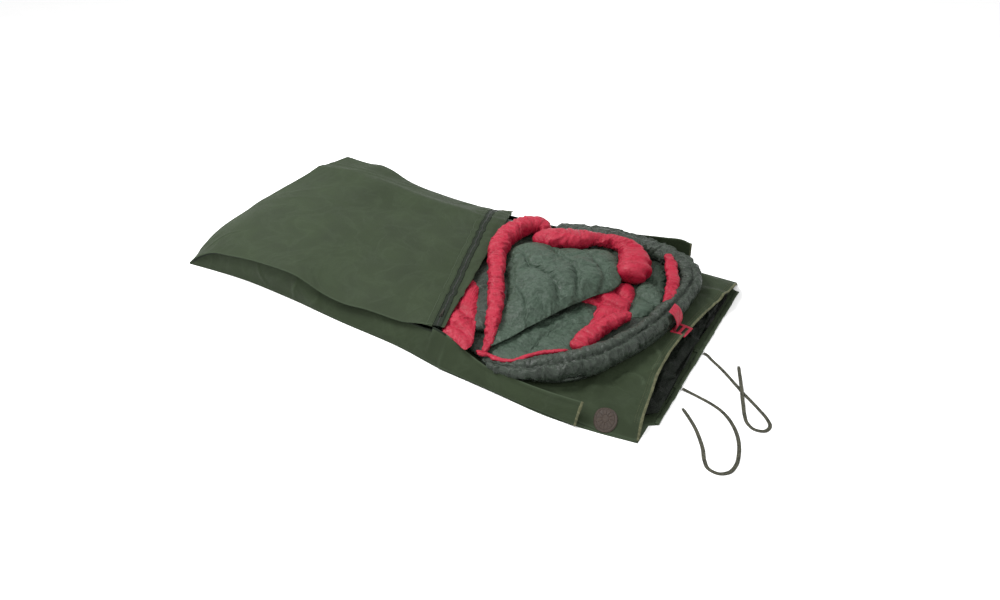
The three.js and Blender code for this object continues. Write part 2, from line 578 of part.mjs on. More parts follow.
function makeDrawcord() {
  const { x, z, start, end, radius } = DRAWCORD;
  add('drawcord', roll([[x, start, z], [x, (start + end) / 2, z], [x, end, z]], radius, 4, 8), blackPlastic);
  const ring = new THREE.Shape().absarc(0, 0, LOCK.radius, 0, 2 * Math.PI);
  ring.holes.push(new THREE.Path().absarc(0, 0, LOCK.bore, 0, 2 * Math.PI, true));
  const lock = new THREE.ExtrudeGeometry(ring, { depth: LOCK.length, bevelEnabled: false, curveSegments: 10 });
  add('cord_lock', lock.rotateX(Math.PI / 2).translate(x, LOCK.at + LOCK.length / 2, z), blackPlastic);
}

// ---------------------------------------------------------------- tie cords
// Each cord leaves its tab on the lip and lies on the ground. The far cord crosses over itself.
const onGround = TAPE_THICK / 2 + 0.2;
const tieCordNear = [
  [1082, -230, 5.5], [1096, -231, 4], [1116, -233, 1.6], [1147, -239, onGround], [1190, -250, onGround],
  [1226, -265, onGround], [1262, -293, onGround], [1292, -330, onGround], [1318, -380, onGround],
  [1333, -432, onGround], [1338, -482, onGround], [1328, -520, onGround], [1302, -540, onGround],
  [1270, -536, onGround], [1249, -508, onGround], [1232, -469, onGround], [1208, -428, onGround],
  [1179, -387, onGround], [1146, -351, onGround], [1114, -320, onGround],
];
const tieCordFar = [
  [1082, 0, 5.5], [1096, -4, 4], [1116, -18, 1.6], [1150, -42, onGround], [1190, -74, onGround],
  [1226, -106, onGround], [1262, -138, onGround], [1300, -168, onGround], [1334, -196, onGround],
  [1366, -226, onGround], [1384, -256, onGround], [1376, -286, onGround], [1346, -297, onGround],
  [1318, -280, onGround], [1298, -244, onGround + 0.4], [1283, -204, onGround + 2], [1270, -170, 4.4],
  [1260, -140, 5], [1250, -112, 4.4], [1238, -78, onGround + 1.4], [1224, -40, onGround], [1211, -4, onGround],
];

function makeCords() {
  add('tie_cord_near', flatStrip(tieCordNear, TAPE_WIDTH, TAPE_THICK, 34), cordTape);
  add('tie_cord_far', flatStrip(tieCordFar, TAPE_WIDTH, TAPE_THICK, 36), cordTape);
}

makeGroundsheet();
makeLip();
makePad();
makeSleeve();
makePatch();
makeWalls();
makeSideZips();
makeFlaps();
makeCover();
makeCoverZip();
makeSlider();
makeQuilts();
makeFoldedQuilt();
makeBagZip();
makeHood();
makeDrawcord();
makeCords();

export default sack;
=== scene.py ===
# %% [markdown]
# # A canvas bivy sack, laid open with its sleeping bag
# The sack is a bedroll of waxed cotton canvas. Its foot half is a low box with a domed cover, and at
# its head end the cover is folded open, so a mummy sleeping bag shows, unzipped and turned back.
# The solids underneath are already set, and every piece made here rides on one of their bodies.

# %% Load the frame
import json
import math
import bpy
import numpy as np
from mathutils import Vector
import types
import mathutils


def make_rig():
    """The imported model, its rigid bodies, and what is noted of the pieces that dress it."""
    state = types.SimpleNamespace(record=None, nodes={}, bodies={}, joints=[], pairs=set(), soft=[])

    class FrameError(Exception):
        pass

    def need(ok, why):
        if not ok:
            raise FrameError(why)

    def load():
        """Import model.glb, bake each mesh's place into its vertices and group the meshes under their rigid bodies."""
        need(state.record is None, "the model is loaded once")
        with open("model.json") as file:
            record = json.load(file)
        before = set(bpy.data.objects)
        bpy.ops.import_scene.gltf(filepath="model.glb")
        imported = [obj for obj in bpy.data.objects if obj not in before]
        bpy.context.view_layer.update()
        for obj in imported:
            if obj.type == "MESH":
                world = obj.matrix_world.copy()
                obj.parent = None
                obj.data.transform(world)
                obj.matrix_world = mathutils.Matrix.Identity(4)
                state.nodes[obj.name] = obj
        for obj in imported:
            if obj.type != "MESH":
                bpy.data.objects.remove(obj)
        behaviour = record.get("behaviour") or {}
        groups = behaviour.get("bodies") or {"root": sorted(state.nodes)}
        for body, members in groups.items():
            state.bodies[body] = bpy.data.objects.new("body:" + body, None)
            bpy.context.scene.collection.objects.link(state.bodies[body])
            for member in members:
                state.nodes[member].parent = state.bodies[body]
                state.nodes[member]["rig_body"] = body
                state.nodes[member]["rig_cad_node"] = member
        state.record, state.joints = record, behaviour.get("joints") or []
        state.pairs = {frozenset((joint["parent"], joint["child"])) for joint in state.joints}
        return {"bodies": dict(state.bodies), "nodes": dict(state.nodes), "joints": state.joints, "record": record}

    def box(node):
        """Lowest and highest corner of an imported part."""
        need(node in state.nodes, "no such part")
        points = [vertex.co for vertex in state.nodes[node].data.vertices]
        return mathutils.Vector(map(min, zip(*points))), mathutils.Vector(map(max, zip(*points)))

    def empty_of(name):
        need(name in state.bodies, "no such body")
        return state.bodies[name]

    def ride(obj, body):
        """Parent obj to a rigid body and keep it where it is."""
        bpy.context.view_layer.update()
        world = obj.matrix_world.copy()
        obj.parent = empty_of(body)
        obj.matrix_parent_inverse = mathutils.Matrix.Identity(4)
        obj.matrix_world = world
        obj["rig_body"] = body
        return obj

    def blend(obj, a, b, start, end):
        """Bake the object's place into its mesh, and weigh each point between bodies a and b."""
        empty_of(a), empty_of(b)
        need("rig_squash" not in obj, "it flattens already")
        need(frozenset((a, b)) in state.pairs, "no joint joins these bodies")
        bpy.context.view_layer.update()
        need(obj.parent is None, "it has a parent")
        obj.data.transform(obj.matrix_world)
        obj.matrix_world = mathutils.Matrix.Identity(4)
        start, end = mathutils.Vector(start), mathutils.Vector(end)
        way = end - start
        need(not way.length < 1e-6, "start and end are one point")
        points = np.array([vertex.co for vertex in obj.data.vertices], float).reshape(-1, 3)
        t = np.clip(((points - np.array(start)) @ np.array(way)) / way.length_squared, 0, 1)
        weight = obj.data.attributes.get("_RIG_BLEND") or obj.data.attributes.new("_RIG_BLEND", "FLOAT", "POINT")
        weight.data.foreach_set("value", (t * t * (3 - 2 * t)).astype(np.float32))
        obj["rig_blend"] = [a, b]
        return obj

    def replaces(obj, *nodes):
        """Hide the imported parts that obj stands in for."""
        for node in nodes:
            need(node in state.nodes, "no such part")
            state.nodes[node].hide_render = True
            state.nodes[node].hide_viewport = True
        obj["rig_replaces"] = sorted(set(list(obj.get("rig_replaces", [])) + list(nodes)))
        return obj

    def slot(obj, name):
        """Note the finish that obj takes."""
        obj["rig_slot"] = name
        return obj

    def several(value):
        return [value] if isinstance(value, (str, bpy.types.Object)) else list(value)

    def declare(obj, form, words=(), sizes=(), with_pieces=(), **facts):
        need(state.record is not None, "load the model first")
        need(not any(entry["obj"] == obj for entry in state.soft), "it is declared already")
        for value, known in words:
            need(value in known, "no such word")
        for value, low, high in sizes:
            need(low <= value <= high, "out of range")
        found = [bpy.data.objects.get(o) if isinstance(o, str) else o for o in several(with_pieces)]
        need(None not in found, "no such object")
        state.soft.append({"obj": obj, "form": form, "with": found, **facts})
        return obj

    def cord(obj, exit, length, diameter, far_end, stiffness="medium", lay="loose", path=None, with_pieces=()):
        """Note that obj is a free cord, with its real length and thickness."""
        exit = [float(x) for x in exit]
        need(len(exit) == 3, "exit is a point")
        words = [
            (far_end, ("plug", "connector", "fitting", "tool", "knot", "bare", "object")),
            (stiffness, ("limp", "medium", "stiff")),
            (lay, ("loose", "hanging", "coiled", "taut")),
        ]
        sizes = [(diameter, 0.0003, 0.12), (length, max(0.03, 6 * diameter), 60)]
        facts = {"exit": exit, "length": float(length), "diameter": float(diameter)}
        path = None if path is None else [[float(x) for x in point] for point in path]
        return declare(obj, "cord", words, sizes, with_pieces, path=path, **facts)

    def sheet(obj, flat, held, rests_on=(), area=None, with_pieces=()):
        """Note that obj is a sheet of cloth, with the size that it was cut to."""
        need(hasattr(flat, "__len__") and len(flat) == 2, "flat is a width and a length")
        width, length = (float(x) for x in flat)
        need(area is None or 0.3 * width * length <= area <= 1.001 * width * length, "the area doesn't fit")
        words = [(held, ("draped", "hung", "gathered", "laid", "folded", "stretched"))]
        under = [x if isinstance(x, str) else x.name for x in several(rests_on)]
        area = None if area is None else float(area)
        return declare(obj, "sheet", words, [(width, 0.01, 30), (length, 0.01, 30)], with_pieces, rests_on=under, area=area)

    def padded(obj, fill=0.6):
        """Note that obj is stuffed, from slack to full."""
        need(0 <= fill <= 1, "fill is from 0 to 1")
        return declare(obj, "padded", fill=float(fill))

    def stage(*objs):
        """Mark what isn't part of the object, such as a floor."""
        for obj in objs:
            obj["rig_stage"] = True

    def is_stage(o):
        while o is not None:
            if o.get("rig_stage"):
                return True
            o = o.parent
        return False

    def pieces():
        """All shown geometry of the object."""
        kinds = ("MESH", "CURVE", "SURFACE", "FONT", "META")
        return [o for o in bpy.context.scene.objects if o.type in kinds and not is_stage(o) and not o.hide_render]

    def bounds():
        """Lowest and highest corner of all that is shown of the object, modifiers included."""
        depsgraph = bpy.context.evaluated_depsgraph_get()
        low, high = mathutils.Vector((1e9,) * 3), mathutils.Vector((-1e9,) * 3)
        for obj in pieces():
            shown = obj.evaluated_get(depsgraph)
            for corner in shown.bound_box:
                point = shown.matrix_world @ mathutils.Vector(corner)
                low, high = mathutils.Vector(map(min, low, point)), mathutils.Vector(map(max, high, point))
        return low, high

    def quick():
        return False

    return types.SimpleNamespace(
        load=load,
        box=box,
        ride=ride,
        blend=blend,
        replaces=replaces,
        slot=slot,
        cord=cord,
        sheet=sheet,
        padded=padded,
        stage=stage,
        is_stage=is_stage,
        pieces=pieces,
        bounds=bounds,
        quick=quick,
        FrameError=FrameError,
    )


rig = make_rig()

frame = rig.load()
CAD_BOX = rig.bounds()
print("bodies:", ", ".join(frame["bodies"]))
print("CAD box:", [round(float(c), 3) for corner in CAD_BOX for c in corner])

# %% [markdown]
# ## Curves, noise and folds
# Cloth is described here as height over a plane, so three small tools carry most of the work: a
# smooth curve through stations, smooth noise, and long soft ridges that lie in one direction, which
# is how a canvas crease differs from plain noise. Every table of random numbers has its own seed.

# %% Curve and noise tools
def cubic(t, h, start, start_slope, end, end_slope):
    """The cubic between two values with given slopes, at share t of a step h."""
    return ((2 * t**3 - 3 * t**2 + 1) * start + (t**3 - 2 * t**2 + t) * h * start_slope
            + (3 * t**2 - 2 * t**3) * end + (t**3 - t**2) * h * end_slope)


def through(stations):
    """A smooth curve through (x, y) stations, read as y at any x."""
    xs, ys = np.array(stations, float).T
    slope = np.gradient(ys, xs)

    def read(x):
        x = np.clip(np.asarray(x, float), xs[0], xs[-1])
        i = np.clip(np.searchsorted(xs, x) - 1, 0, len(xs) - 2)
        h = xs[i + 1] - xs[i]
        return cubic((x - xs[i]) / h, h, ys[i], slope[i], ys[i + 1], slope[i + 1])
    return read


def smoothstep(a, b, x):
    t = np.clip((np.asarray(x, float) - a) / (b - a), 0, 1)
    return t * t * (3 - 2 * t)


def unit(vectors):
    return vectors / np.linalg.norm(vectors, axis=-1, keepdims=True)


def length_of(path):
    return float(np.linalg.norm(np.diff(path, axis=0), axis=1).sum())


def path_through(points, count):
    """count points at even steps along a smooth curve through the given ones."""
    pts = np.array(points, float)
    reach = np.r_[0, np.cumsum(np.linalg.norm(np.diff(pts, axis=0), axis=1))]
    fine = np.linspace(0, reach[-1], 600)
    curve = np.stack([through(np.c_[reach, pts[:, k]])(fine) for k in range(pts.shape[1])], 1)
    along = np.r_[0, np.cumsum(np.linalg.norm(np.diff(curve[:, :3], axis=0), axis=1))]
    even = np.linspace(0, along[-1], count)
    return np.stack([np.interp(even, along, curve[:, k]) for k in range(pts.shape[1])], 1)


def near_line(x, y, line):
    """How far each point is from a drawn line, and how far along the line its nearest spot is."""
    pts = path_through(line, 90)
    step = np.linalg.norm(pts[1] - pts[0])
    d = np.hypot(x[..., None] - pts[:, 0], y[..., None] - pts[:, 1])
    k = d.argmin(-1)
    return np.take_along_axis(d, k[..., None], -1)[..., 0], k * step


NOISE_TABLES = {}


def noise(x, y, seed):
    """Smooth noise between -1 and 1, about one bump to a unit."""
    if seed not in NOISE_TABLES:
        NOISE_TABLES[seed] = np.random.RandomState(seed).uniform(-1, 1, (97, 97))
    table = NOISE_TABLES[seed]
    x, y = np.broadcast_arrays(np.asarray(x, float), np.asarray(y, float))
    i, j = np.floor(x).astype(int), np.floor(y).astype(int)
    fx, fy = x - i, y - j
    fx, fy = fx**3 * (fx * (6 * fx - 15) + 10), fy**3 * (fy * (6 * fy - 15) + 10)
    at = lambda a, b: table[a % 97, b % 97]
    low = at(i, j) * (1 - fx) + at(i + 1, j) * fx
    high = at(i, j + 1) * (1 - fx) + at(i + 1, j + 1) * fx
    return low * (1 - fy) + high * fy


def layered(x, y, seed, octaves=3):
    return sum(noise(x * 2**k, y * 2**k, seed + k) / 2**k for k in range(octaves))


def folds(x, y, seed, angle, length, width, sharp=2.0):
    """Long soft ridges between 0 and 1, lying at angle degrees from X."""
    c, s = math.cos(math.radians(angle)), math.sin(math.radians(angle))
    u, v = (x * c + y * s) / length, (-x * s + y * c) / width
    v = v + 0.7 * noise(u * 1.3, v * 0.4, seed + 50)
    ridge = np.clip(1 - 1.8 * np.abs(noise(u, v, seed)), 0, 1) ** sharp
    return ridge * smoothstep(-0.4, 0.6, noise(u * 0.8 + 9, v * 0.5, seed + 51))


print("folds at one spot:", round(float(folds(0.1, 0.2, 1, 30, 0.4, 0.1)), 3))

# %% [markdown]
# ## Meshes for cloth
# A sheet is a grid of points with a real thickness, closed round its edges, because a canvas edge
# is seen end on wherever it is folded open. A padded piece is a loft of closed rings, so a tube, a
# roll and a quilt are all one kind of mesh. Both carry a UV map measured in metres along the cloth,
# so a weave keeps its size and follows the cloth round every fold.

# %% Mesh builders
PIECES = {}
BLENDS = {}  # piece: (body, body, start, end), for cloth that crosses a joint
UP = np.array([0, 0, 1.0])
CANVAS = 0.0016  # thickness of one layer


def finish_mesh(name, verts, faces, uvs, body, slot, replaces=()):
    mesh = bpy.data.meshes.new(name)
    mesh.from_pydata([tuple(v) for v in verts], [], faces)
    layer = mesh.uv_layers.new(name="cloth")
    corner = np.empty(len(mesh.loops), int)
    mesh.loops.foreach_get("vertex_index", corner)
    layer.data.foreach_set("uv", np.asarray(uvs, float)[corner].ravel())
    mesh.shade_smooth()
    mesh.update()
    piece = bpy.data.objects.new(name, mesh)
    bpy.context.scene.collection.objects.link(piece)
    if isinstance(body, str):
        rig.ride(piece, body)
    else:
        BLENDS[name] = body
    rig.slot(piece, slot)
    if replaces:
        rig.replaces(piece, *replaces)
    PIECES[name] = piece
    return piece


def normals_of(grid):
    """Unit normals of a grid of points, on the side that u cross v points to."""
    du, dv = np.gradient(grid, axis=0), np.gradient(grid, axis=1)
    n = np.cross(du, dv)
    return n / np.maximum(np.linalg.norm(n, axis=2, keepdims=True), 1e-9)


def metres_along(grid):
    """UVs in metres: the mean distance along u and along v."""
    su = np.linalg.norm(np.diff(grid, axis=0), axis=2).mean(1)
    sv = np.linalg.norm(np.diff(grid, axis=1), axis=2).mean(0)
    u, v = np.r_[0, np.cumsum(su)], np.r_[0, np.cumsum(sv)]
    return np.stack(np.meshgrid(u, v, indexing="ij"), 2)


def sheet(name, grid, thick, body, slot, replaces=()):
    """A cloth sheet: grid is its outer face, on the side of u cross v, and thick its thickness."""
    n, m = grid.shape[:2]
    inner = grid - normals_of(grid) * thick
    verts = np.concatenate([grid.reshape(-1, 3), inner.reshape(-1, 3)])
    uv = metres_along(grid).reshape(-1, 2)
    index = np.arange(n * m).reshape(n, m)
    a, b, c, d = index[:-1, :-1], index[1:, :-1], index[1:, 1:], index[:-1, 1:]
    top = np.stack([a, b, c, d], 2).reshape(-1, 4)
    faces = top.tolist() + (top[:, ::-1] + n * m).tolist()
    rim = np.r_[index[0, :-1], index[:-1, -1], index[-1, :0:-1], index[:0:-1, 0]]
    nxt = np.roll(rim, -1)
    faces += np.stack([rim, nxt, nxt + n * m, rim + n * m], 1).tolist()
    return finish_mesh(name, verts, faces, np.concatenate([uv, uv]), body, slot, replaces)


def loft(name, rings, body, slot, replaces=(), plan=False):
    """A closed solid through rings of points, with a middle point closing each end. plan takes the UVs from above."""
    n, m = rings.shape[:2]
    verts = np.concatenate([rings.reshape(-1, 3), rings[:1].mean(1), rings[-1:].mean(1)])
    grid_uv = metres_along(np.concatenate([rings, rings[:, :1]], 1))[:, :m]
    uv = np.concatenate([grid_uv.reshape(-1, 2), grid_uv[0].mean(0)[None], grid_uv[-1].mean(0)[None]])
    uv = verts[:, :2] if plan else uv
    i, j = np.meshgrid(np.arange(n - 1), np.arange(m), indexing="ij")
    k = (j + 1) % m
    sides = np.stack([i * m + j, (i + 1) * m + j, (i + 1) * m + k, i * m + k], 2).reshape(-1, 4)
    faces = sides.tolist()
    for j in range(m):
        faces.append((n * m, j, (j + 1) % m))
        faces.append((n * m + 1, (n - 1) * m + (j + 1) % m, (n - 1) * m + j))
    return finish_mesh(name, verts, faces, uv, body, slot, replaces)


def flat_ring(top, side, bottom):
    """A rounded flat section as (across, up) shares from -1 to 1, anticlockwise from the lower near corner."""
    turn = np.linspace(-0.5 * np.pi, 0.5 * np.pi, side + 2)[1:-1]
    across = np.r_[np.linspace(-0.97, 0.97, bottom), 0.97 + 0.03 * np.cos(turn), np.linspace(0.97, -0.97, top),
                   -0.97 - 0.03 * np.cos(turn)]
    up = np.r_[-np.ones(bottom), np.sin(turn), np.ones(top), -np.sin(turn)]
    return across, up


def level_frames(path):
    """Unit tangents, level sideways vectors and the vectors that stand up from them."""
    t = unit(np.gradient(path, axis=0))
    side = unit(np.cross(t, UP))
    return t, side, np.cross(side, t)


def tube_rings(path, half_width, half_height, around=24, square=1.0):
    """Rings round a path, as wide and as high as the two arrays say. square under 1 flattens."""
    _, side, up = level_frames(path)
    a = np.linspace(0, 2 * np.pi, around, endpoint=False)
    c, s = np.cos(a), np.sin(a)
    c, s = np.sign(c) * np.abs(c) ** square, np.sign(s) * np.abs(s) ** square
    w = np.broadcast_to(half_width, len(path))[:, None, None]
    h = np.broadcast_to(half_height, len(path))[:, None, None]
    return path[:, None] + side[:, None] * w * c[None, :, None] + up[:, None] * h * s[None, :, None]


print("mesh builders ready")

# %% [markdown]
# ## The camera
# It stands off the near head corner, a little above head height, and looks down at the sack. It
# comes before the cords, because the room that a cord may take is measured from it.

# %% Camera
camera_data = bpy.data.cameras.new("camera")
camera_data.sensor_width = 36
camera_data.lens = 25.92
camera = bpy.data.objects.new("camera", camera_data)
camera.location = (1.520, -2.157, 1.632)
camera.rotation_euler = (math.radians(90 - 33.92), 0, math.radians(31.23))
bpy.context.scene.collection.objects.link(camera)
bpy.context.scene.camera = camera
print("camera at", tuple(round(c, 3) for c in camera.location))

# %% [markdown]
# ## The tie cords
# Two flat cotton tapes, 12 mm wide, are sewn under tabs on the lip and lie limp on the ground. They
# roll the sack up when it is packed. Each is one strip swept along its route, level all the way,
# with a whipped end. The far one crosses over itself in a low hump.

# %% Tie cords
TAPE_WIDTH, TAPE_THICK = 0.012, 0.0016
ON_GROUND = 1.1
ROUTES = {
    "near": [(1082, -230, 5.5), (1096, -231, 4), (1116, -233, 1.6), (1147, -239), (1190, -250), (1226, -265),
             (1262, -293), (1292, -330), (1318, -380), (1333, -432), (1338, -482), (1328, -520), (1302, -540),
             (1270, -536), (1249, -508), (1232, -469), (1208, -428), (1179, -387), (1146, -351), (1114, -320)],
    "far": [(1082, 0, 5.5), (1096, -4, 4), (1116, -18, 1.6), (1150, -42), (1190, -74), (1226, -106),
            (1262, -138), (1300, -168), (1334, -196), (1366, -226), (1384, -256), (1376, -286), (1346, -297),
            (1318, -280), (1298, -244, 1.5), (1283, -204, 3.1), (1270, -170, 4.4), (1260, -140, 5),
            (1250, -112, 4.4), (1238, -78, 2.5), (1224, -40), (1211, -4)],
}

for which, route in ROUTES.items():
    points = [(p[0] / 1000, p[1] / 1000, (p[2] if len(p) > 2 else ON_GROUND) / 1000) for p in route]
    path = path_through(points, 240)
    reach = np.linspace(0, 1, len(path))
    _, side, _ = level_frames(path)
    across = np.linspace(-1, 1, 7)
    width = TAPE_WIDTH / 2 * (1 - 0.3 * smoothstep(0.985, 1, reach))
    grid = path[:, None] + side[:, None] * (width[:, None] * across)[:, :, None]
    # The limp edges lift a little where the tape turns.
    grid[:, :, 2] += TAPE_THICK / 2 + 0.0010 * np.abs(noise(reach * 16, 0, 31))[:, None] * across**2
    piece = sheet("tape_" + which, grid[:, ::-1], TAPE_THICK, "sack", "tie_tape", ["tie_cord_" + which])
    length = length_of(path)
    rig.cord(piece, exit=points[0], length=length, diameter=TAPE_WIDTH, far_end="bare", stiffness="limp",
            lay="loose", path=path)
    print(piece.name, "is", round(length, 3), "m long")

# %% [markdown]
# ## Canvas surfaces
# The heights of the cover are set at stations along the sack: its near edge, its middle, a ridge
# towards the far side and its far edge. The near foot corner is drawn down to the ground, as the
# canvas is cut square and the filling stops short of the corner. Long slanting folds run out of that
# corner and along the ridge; the rest of the cover is calm, because waxed canvas is stiff.

# %% Canvas heights
ZIP_NEAR = np.array([0.232, -0.497, 0.118])
ZIP_BEND = np.array([-0.028, 0.250, 0.139])
ZIP_FAR = np.array([-0.118, 0.492, 0.058])
ZIP_BEND_AT = 0.76
zip_dir = (ZIP_BEND - ZIP_NEAR) / np.linalg.norm(ZIP_BEND - ZIP_NEAR)
zip_head = np.array([zip_dir[1], -zip_dir[0], 0.0])
zip_head /= np.linalg.norm(zip_head)

near_seam = through([(-1.048, -.545), (-.908, -.528), (-.775, -.516), (-.48, -.517), (-.2, -.534), (.124, -.546),
                     (.3, -.569), (.5, -.576), (.76, -.587), (.915, -.571), (1.048, -.548)])
near_edge = through([(-1.052, .010), (-1.028, .032), (-.946, .080), (-.785, .112), (-.582, .132), (-.419, .132),
                     (-.271, .092), (-.191, .084), (-.07, .095), (.068, .097), (.187, .104), (.30, .118)])
middle = through([(-1.052, .112), (-.95, .146), (-.75, .166), (-.5, .162), (-.3, .149), (-.1, .142), (.2, .136)])
ridge = through([(-1.052, .146), (-.975, .156), (-.80, .166), (-.651, .163), (-.461, .140), (-.269, .131),
                 (-.076, .134), (.1, .134)])
far_edge = through([(-1.052, .122), (-.89, .119), (-.81, .127), (-.75, .117), (-.65, .082), (-.43, .054),
                    (-.21, .048), (.05, .052)])
EDGE_Y = 0.511


def cover_height(x, y):
    """Height of the cover's top face, without its folds."""
    knots = np.array([-EDGE_Y, -0.485, -0.42, -0.12, 0.22, 0.305, 0.36, EDGE_Y])
    n, m, r, f = near_edge(x), middle(x), ridge(x), far_edge(x)
    values = np.stack([n - 0.003, n + 0.006, n + 0.42 * (m - n), m, r - 0.006, r + 0.003, r + 0.26 * (f - r), f])
    slopes = np.gradient(values, knots, axis=0)
    y = np.clip(y, knots[0], knots[-1])
    i = np.clip(np.searchsorted(knots, y) - 1, 0, len(knots) - 2)
    pick = lambda a, k: np.take_along_axis(a, k[None], 0)[0]
    h = knots[i + 1] - knots[i]
    return cubic((y - knots[i]) / h, h, pick(values, i), pick(slopes, i), pick(values, i + 1), pick(slopes, i + 1))


def cover_folds(x, y):
    """The cover's folds: slanting ones from the foot corner, long ones on the ridge, small ones near the edges."""
    calm = smoothstep(0, 0.05, EDGE_Y - np.abs(y))
    corner = folds(x, y, 3, 34, 0.55, 0.13) * smoothstep(-0.3, -0.9, x)
    on_ridge = folds(x, y, 5, 2, 0.5, 0.06) * np.exp(-((y - 0.33) / 0.10) ** 2)
    broad = layered(x * 2.6, y * 3.4, 7, 2)
    small = folds(x, y, 9, 60, 0.22, 0.05) * np.exp(-((np.abs(y) - 0.47) / 0.09) ** 2)
    return calm * (0.007 * corner + 0.006 * on_ridge + 0.004 * small) + 0.0035 * broad * calm


def zip_line(v):
    v = np.asarray(v, float)
    straight = ZIP_NEAR + (ZIP_BEND - ZIP_NEAR) * (v / ZIP_BEND_AT)[..., None]
    t = np.clip((v - ZIP_BEND_AT) / (1 - ZIP_BEND_AT), 0, 1)
    bent = ZIP_BEND + (ZIP_FAR - ZIP_BEND) * t[..., None]
    bent[..., 2] += 0.016 * np.sin(np.pi * t)
    return np.where((v <= ZIP_BEND_AT)[..., None], straight, bent)


heights = [float(cover_height(np.array(x), np.array(0.0))) for x in (-0.9, -0.5, 0)]
print("cover height over the middle:", np.round(heights, 3))

# %% [markdown]
# ## The groundsheet and the pad's sleeve
# The groundsheet lies flat, with a lip that stands out past the mouth. The sleeve's top sheet is
# sewn to it along three sides and rises over the pad; at the head it ends in a hem that bows back
# in the middle and drops to the ground at both corners.

# %% Groundsheet and sleeve
def grid_of(nu, nv, place):
    u, v = np.meshgrid(np.linspace(0, 1, nu), np.linspace(0, 1, nv), indexing="ij")
    return place(u, v)


def stack(*columns):
    return np.stack(np.broadcast_arrays(*columns), -1)


HALF_WIDTH, HALF_LENGTH = 0.545, 1.048
LIP_LENGTH = 0.026


def ground_place(u, v):
    level = HALF_WIDTH * (2 * v - 1)
    lip = smoothstep(-0.452, -0.436, level) * (1 - smoothstep(0.472, 0.488, level))
    x = -HALF_LENGTH + u * (2 * HALF_LENGTH + LIP_LENGTH * lip)
    y = near_seam(x) * (1 - v) + HALF_WIDTH * v
    edge = smoothstep(0.03, 0, y - near_seam(x)) + smoothstep(0.03, 0, HALF_WIDTH - y)
    return stack(x, y, 0.0019 + 0.0012 * edge * np.abs(noise(x * 14, y * 6, 41)))


ground = sheet("groundsheet_cloth", grid_of(120, 60, ground_place), CANVAS, "sack", "canvas", ["groundsheet"])
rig.sheet(ground, flat=(1.10, 2.13), held="laid")

mouth_x = through([(-.545, 1.048), (-.465, 1.030), (-.374, 1.018), (-.249, .998), (-.123, .991), (.023, 1.001),
                   (.186, 1.024), (.34, 1.050), (.446, 1.060), (.54, 1.050)])
mouth_z = through([(-.545, .005), (-.50, .026), (-.43, .044), (-.3, .050), (0, .051), (.2, .054), (.36, .056),
                   (.46, .044), (.54, .006)])
SLEEVE_CREASES = [[(.82, -.34), (.83, -.394), (.841, -.438), (.864, -.50)],
                  [(.886, -.35), (.911, -.294), (.951, -.301), (.977, -.335)],
                  [(.829, -.425), (.859, -.397), (.907, -.397), (.964, -.42)],
                  [(.926, -.114), (.967, -.157), (.974, -.239)],
                  [(.952, .348), (1.009, .34), (1.05, .334)],
                  [(.60, -.53), (.70, -.505), (.78, -.45)]]
SLEEVE_FOOT_X, SLEEVE_FAR_Y = -1.040, 0.537


def sleeve_near(x):
    return np.maximum(near_seam(x), -0.572) + 0.008


def sleeve_height(x, y):
    """Height of the sleeve's top face."""
    seam = np.minimum(np.minimum(y - sleeve_near(x), SLEEVE_FAR_Y - y), x + 1.042)
    rise = np.sin(np.clip(seam / 0.072, 0, 1) * np.pi / 2) ** 1.2
    low = 0.0405 - 0.0025 * folds(x, y, 21, 8, 0.3, 0.08)
    to_mouth = smoothstep(0.86, 1.0, x - mouth_x(y) + 1.0)
    height = low * (1 - to_mouth) + mouth_z(y) * to_mouth
    free = smoothstep(0.45, 0.75, x) * smoothstep(0.0, 0.05, seam)
    creases = 0.0080 * folds(x, y, 23, 62, 0.30, 0.075) + 0.0060 * folds(x, y, 25, -35, 0.25, 0.06)
    for k, line in enumerate(SLEEVE_CREASES):
        far, _ = near_line(x, y, line)
        side = 1 if k % 2 else -1
        ridge_ = 0.010 * np.exp(-far / 0.010) * np.exp(-((far / 0.035) ** 2))
        creases = creases + ridge_ - 0.004 * np.exp(-((far - 0.016) / 0.012) ** 2) * side
    return 0.0030 + (height - 0.0030) * rise + free * creases * (0.45 + 0.55 * smoothstep(0.9, 1.0, x))


def sleeve_place(u, v):
    u = u**0.8
    y0 = sleeve_near(SLEEVE_FOOT_X + 2.08 * u)
    y = y0 + (SLEEVE_FAR_Y - y0) * v
    x = SLEEVE_FOOT_X + u * (mouth_x(y) - SLEEVE_FOOT_X)
    return stack(x, y, sleeve_height(x, y))


sleeve = sheet("sleeve_cloth", grid_of(210, 130, sleeve_place), 0.0014, "sack", "canvas", ["sleeve_top"])
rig.sheet(sleeve, flat=(1.12, 2.10), held="draped", rests_on=["sleeping_pad"])
print("sleeve:", len(sleeve.data.vertices), "vertices")

# %% [markdown]
# ## Hems, seams and stitches
# The pale edges are undyed selvedge, turned once and sewn down. They are soft flat tubes that follow
# an edge. Stitches are separate short threads, each a small closed spindle, so that they catch light
# as thread does and don't look printed.

# %% Hem and stitch tools
def hem(name, path, half_width, half_height, body, slot="pale_hem", replaces=(), seed=60):
    """A soft flat tube along an edge, uneven as a sewn hem is."""
    rings = tube_rings(path, half_width, half_height, 10)
    reach = np.arange(len(path))[:, None] * 0.35
    around = np.linspace(0, 2 * np.pi, 10, endpoint=False)[None]
    swell = 1 + 0.22 * noise(reach, np.sin(around) * 1.5, seed)
    rings = path[:, None] + (rings - path[:, None]) * swell[:, :, None]
    return loft(name, rings, body, slot, replaces)


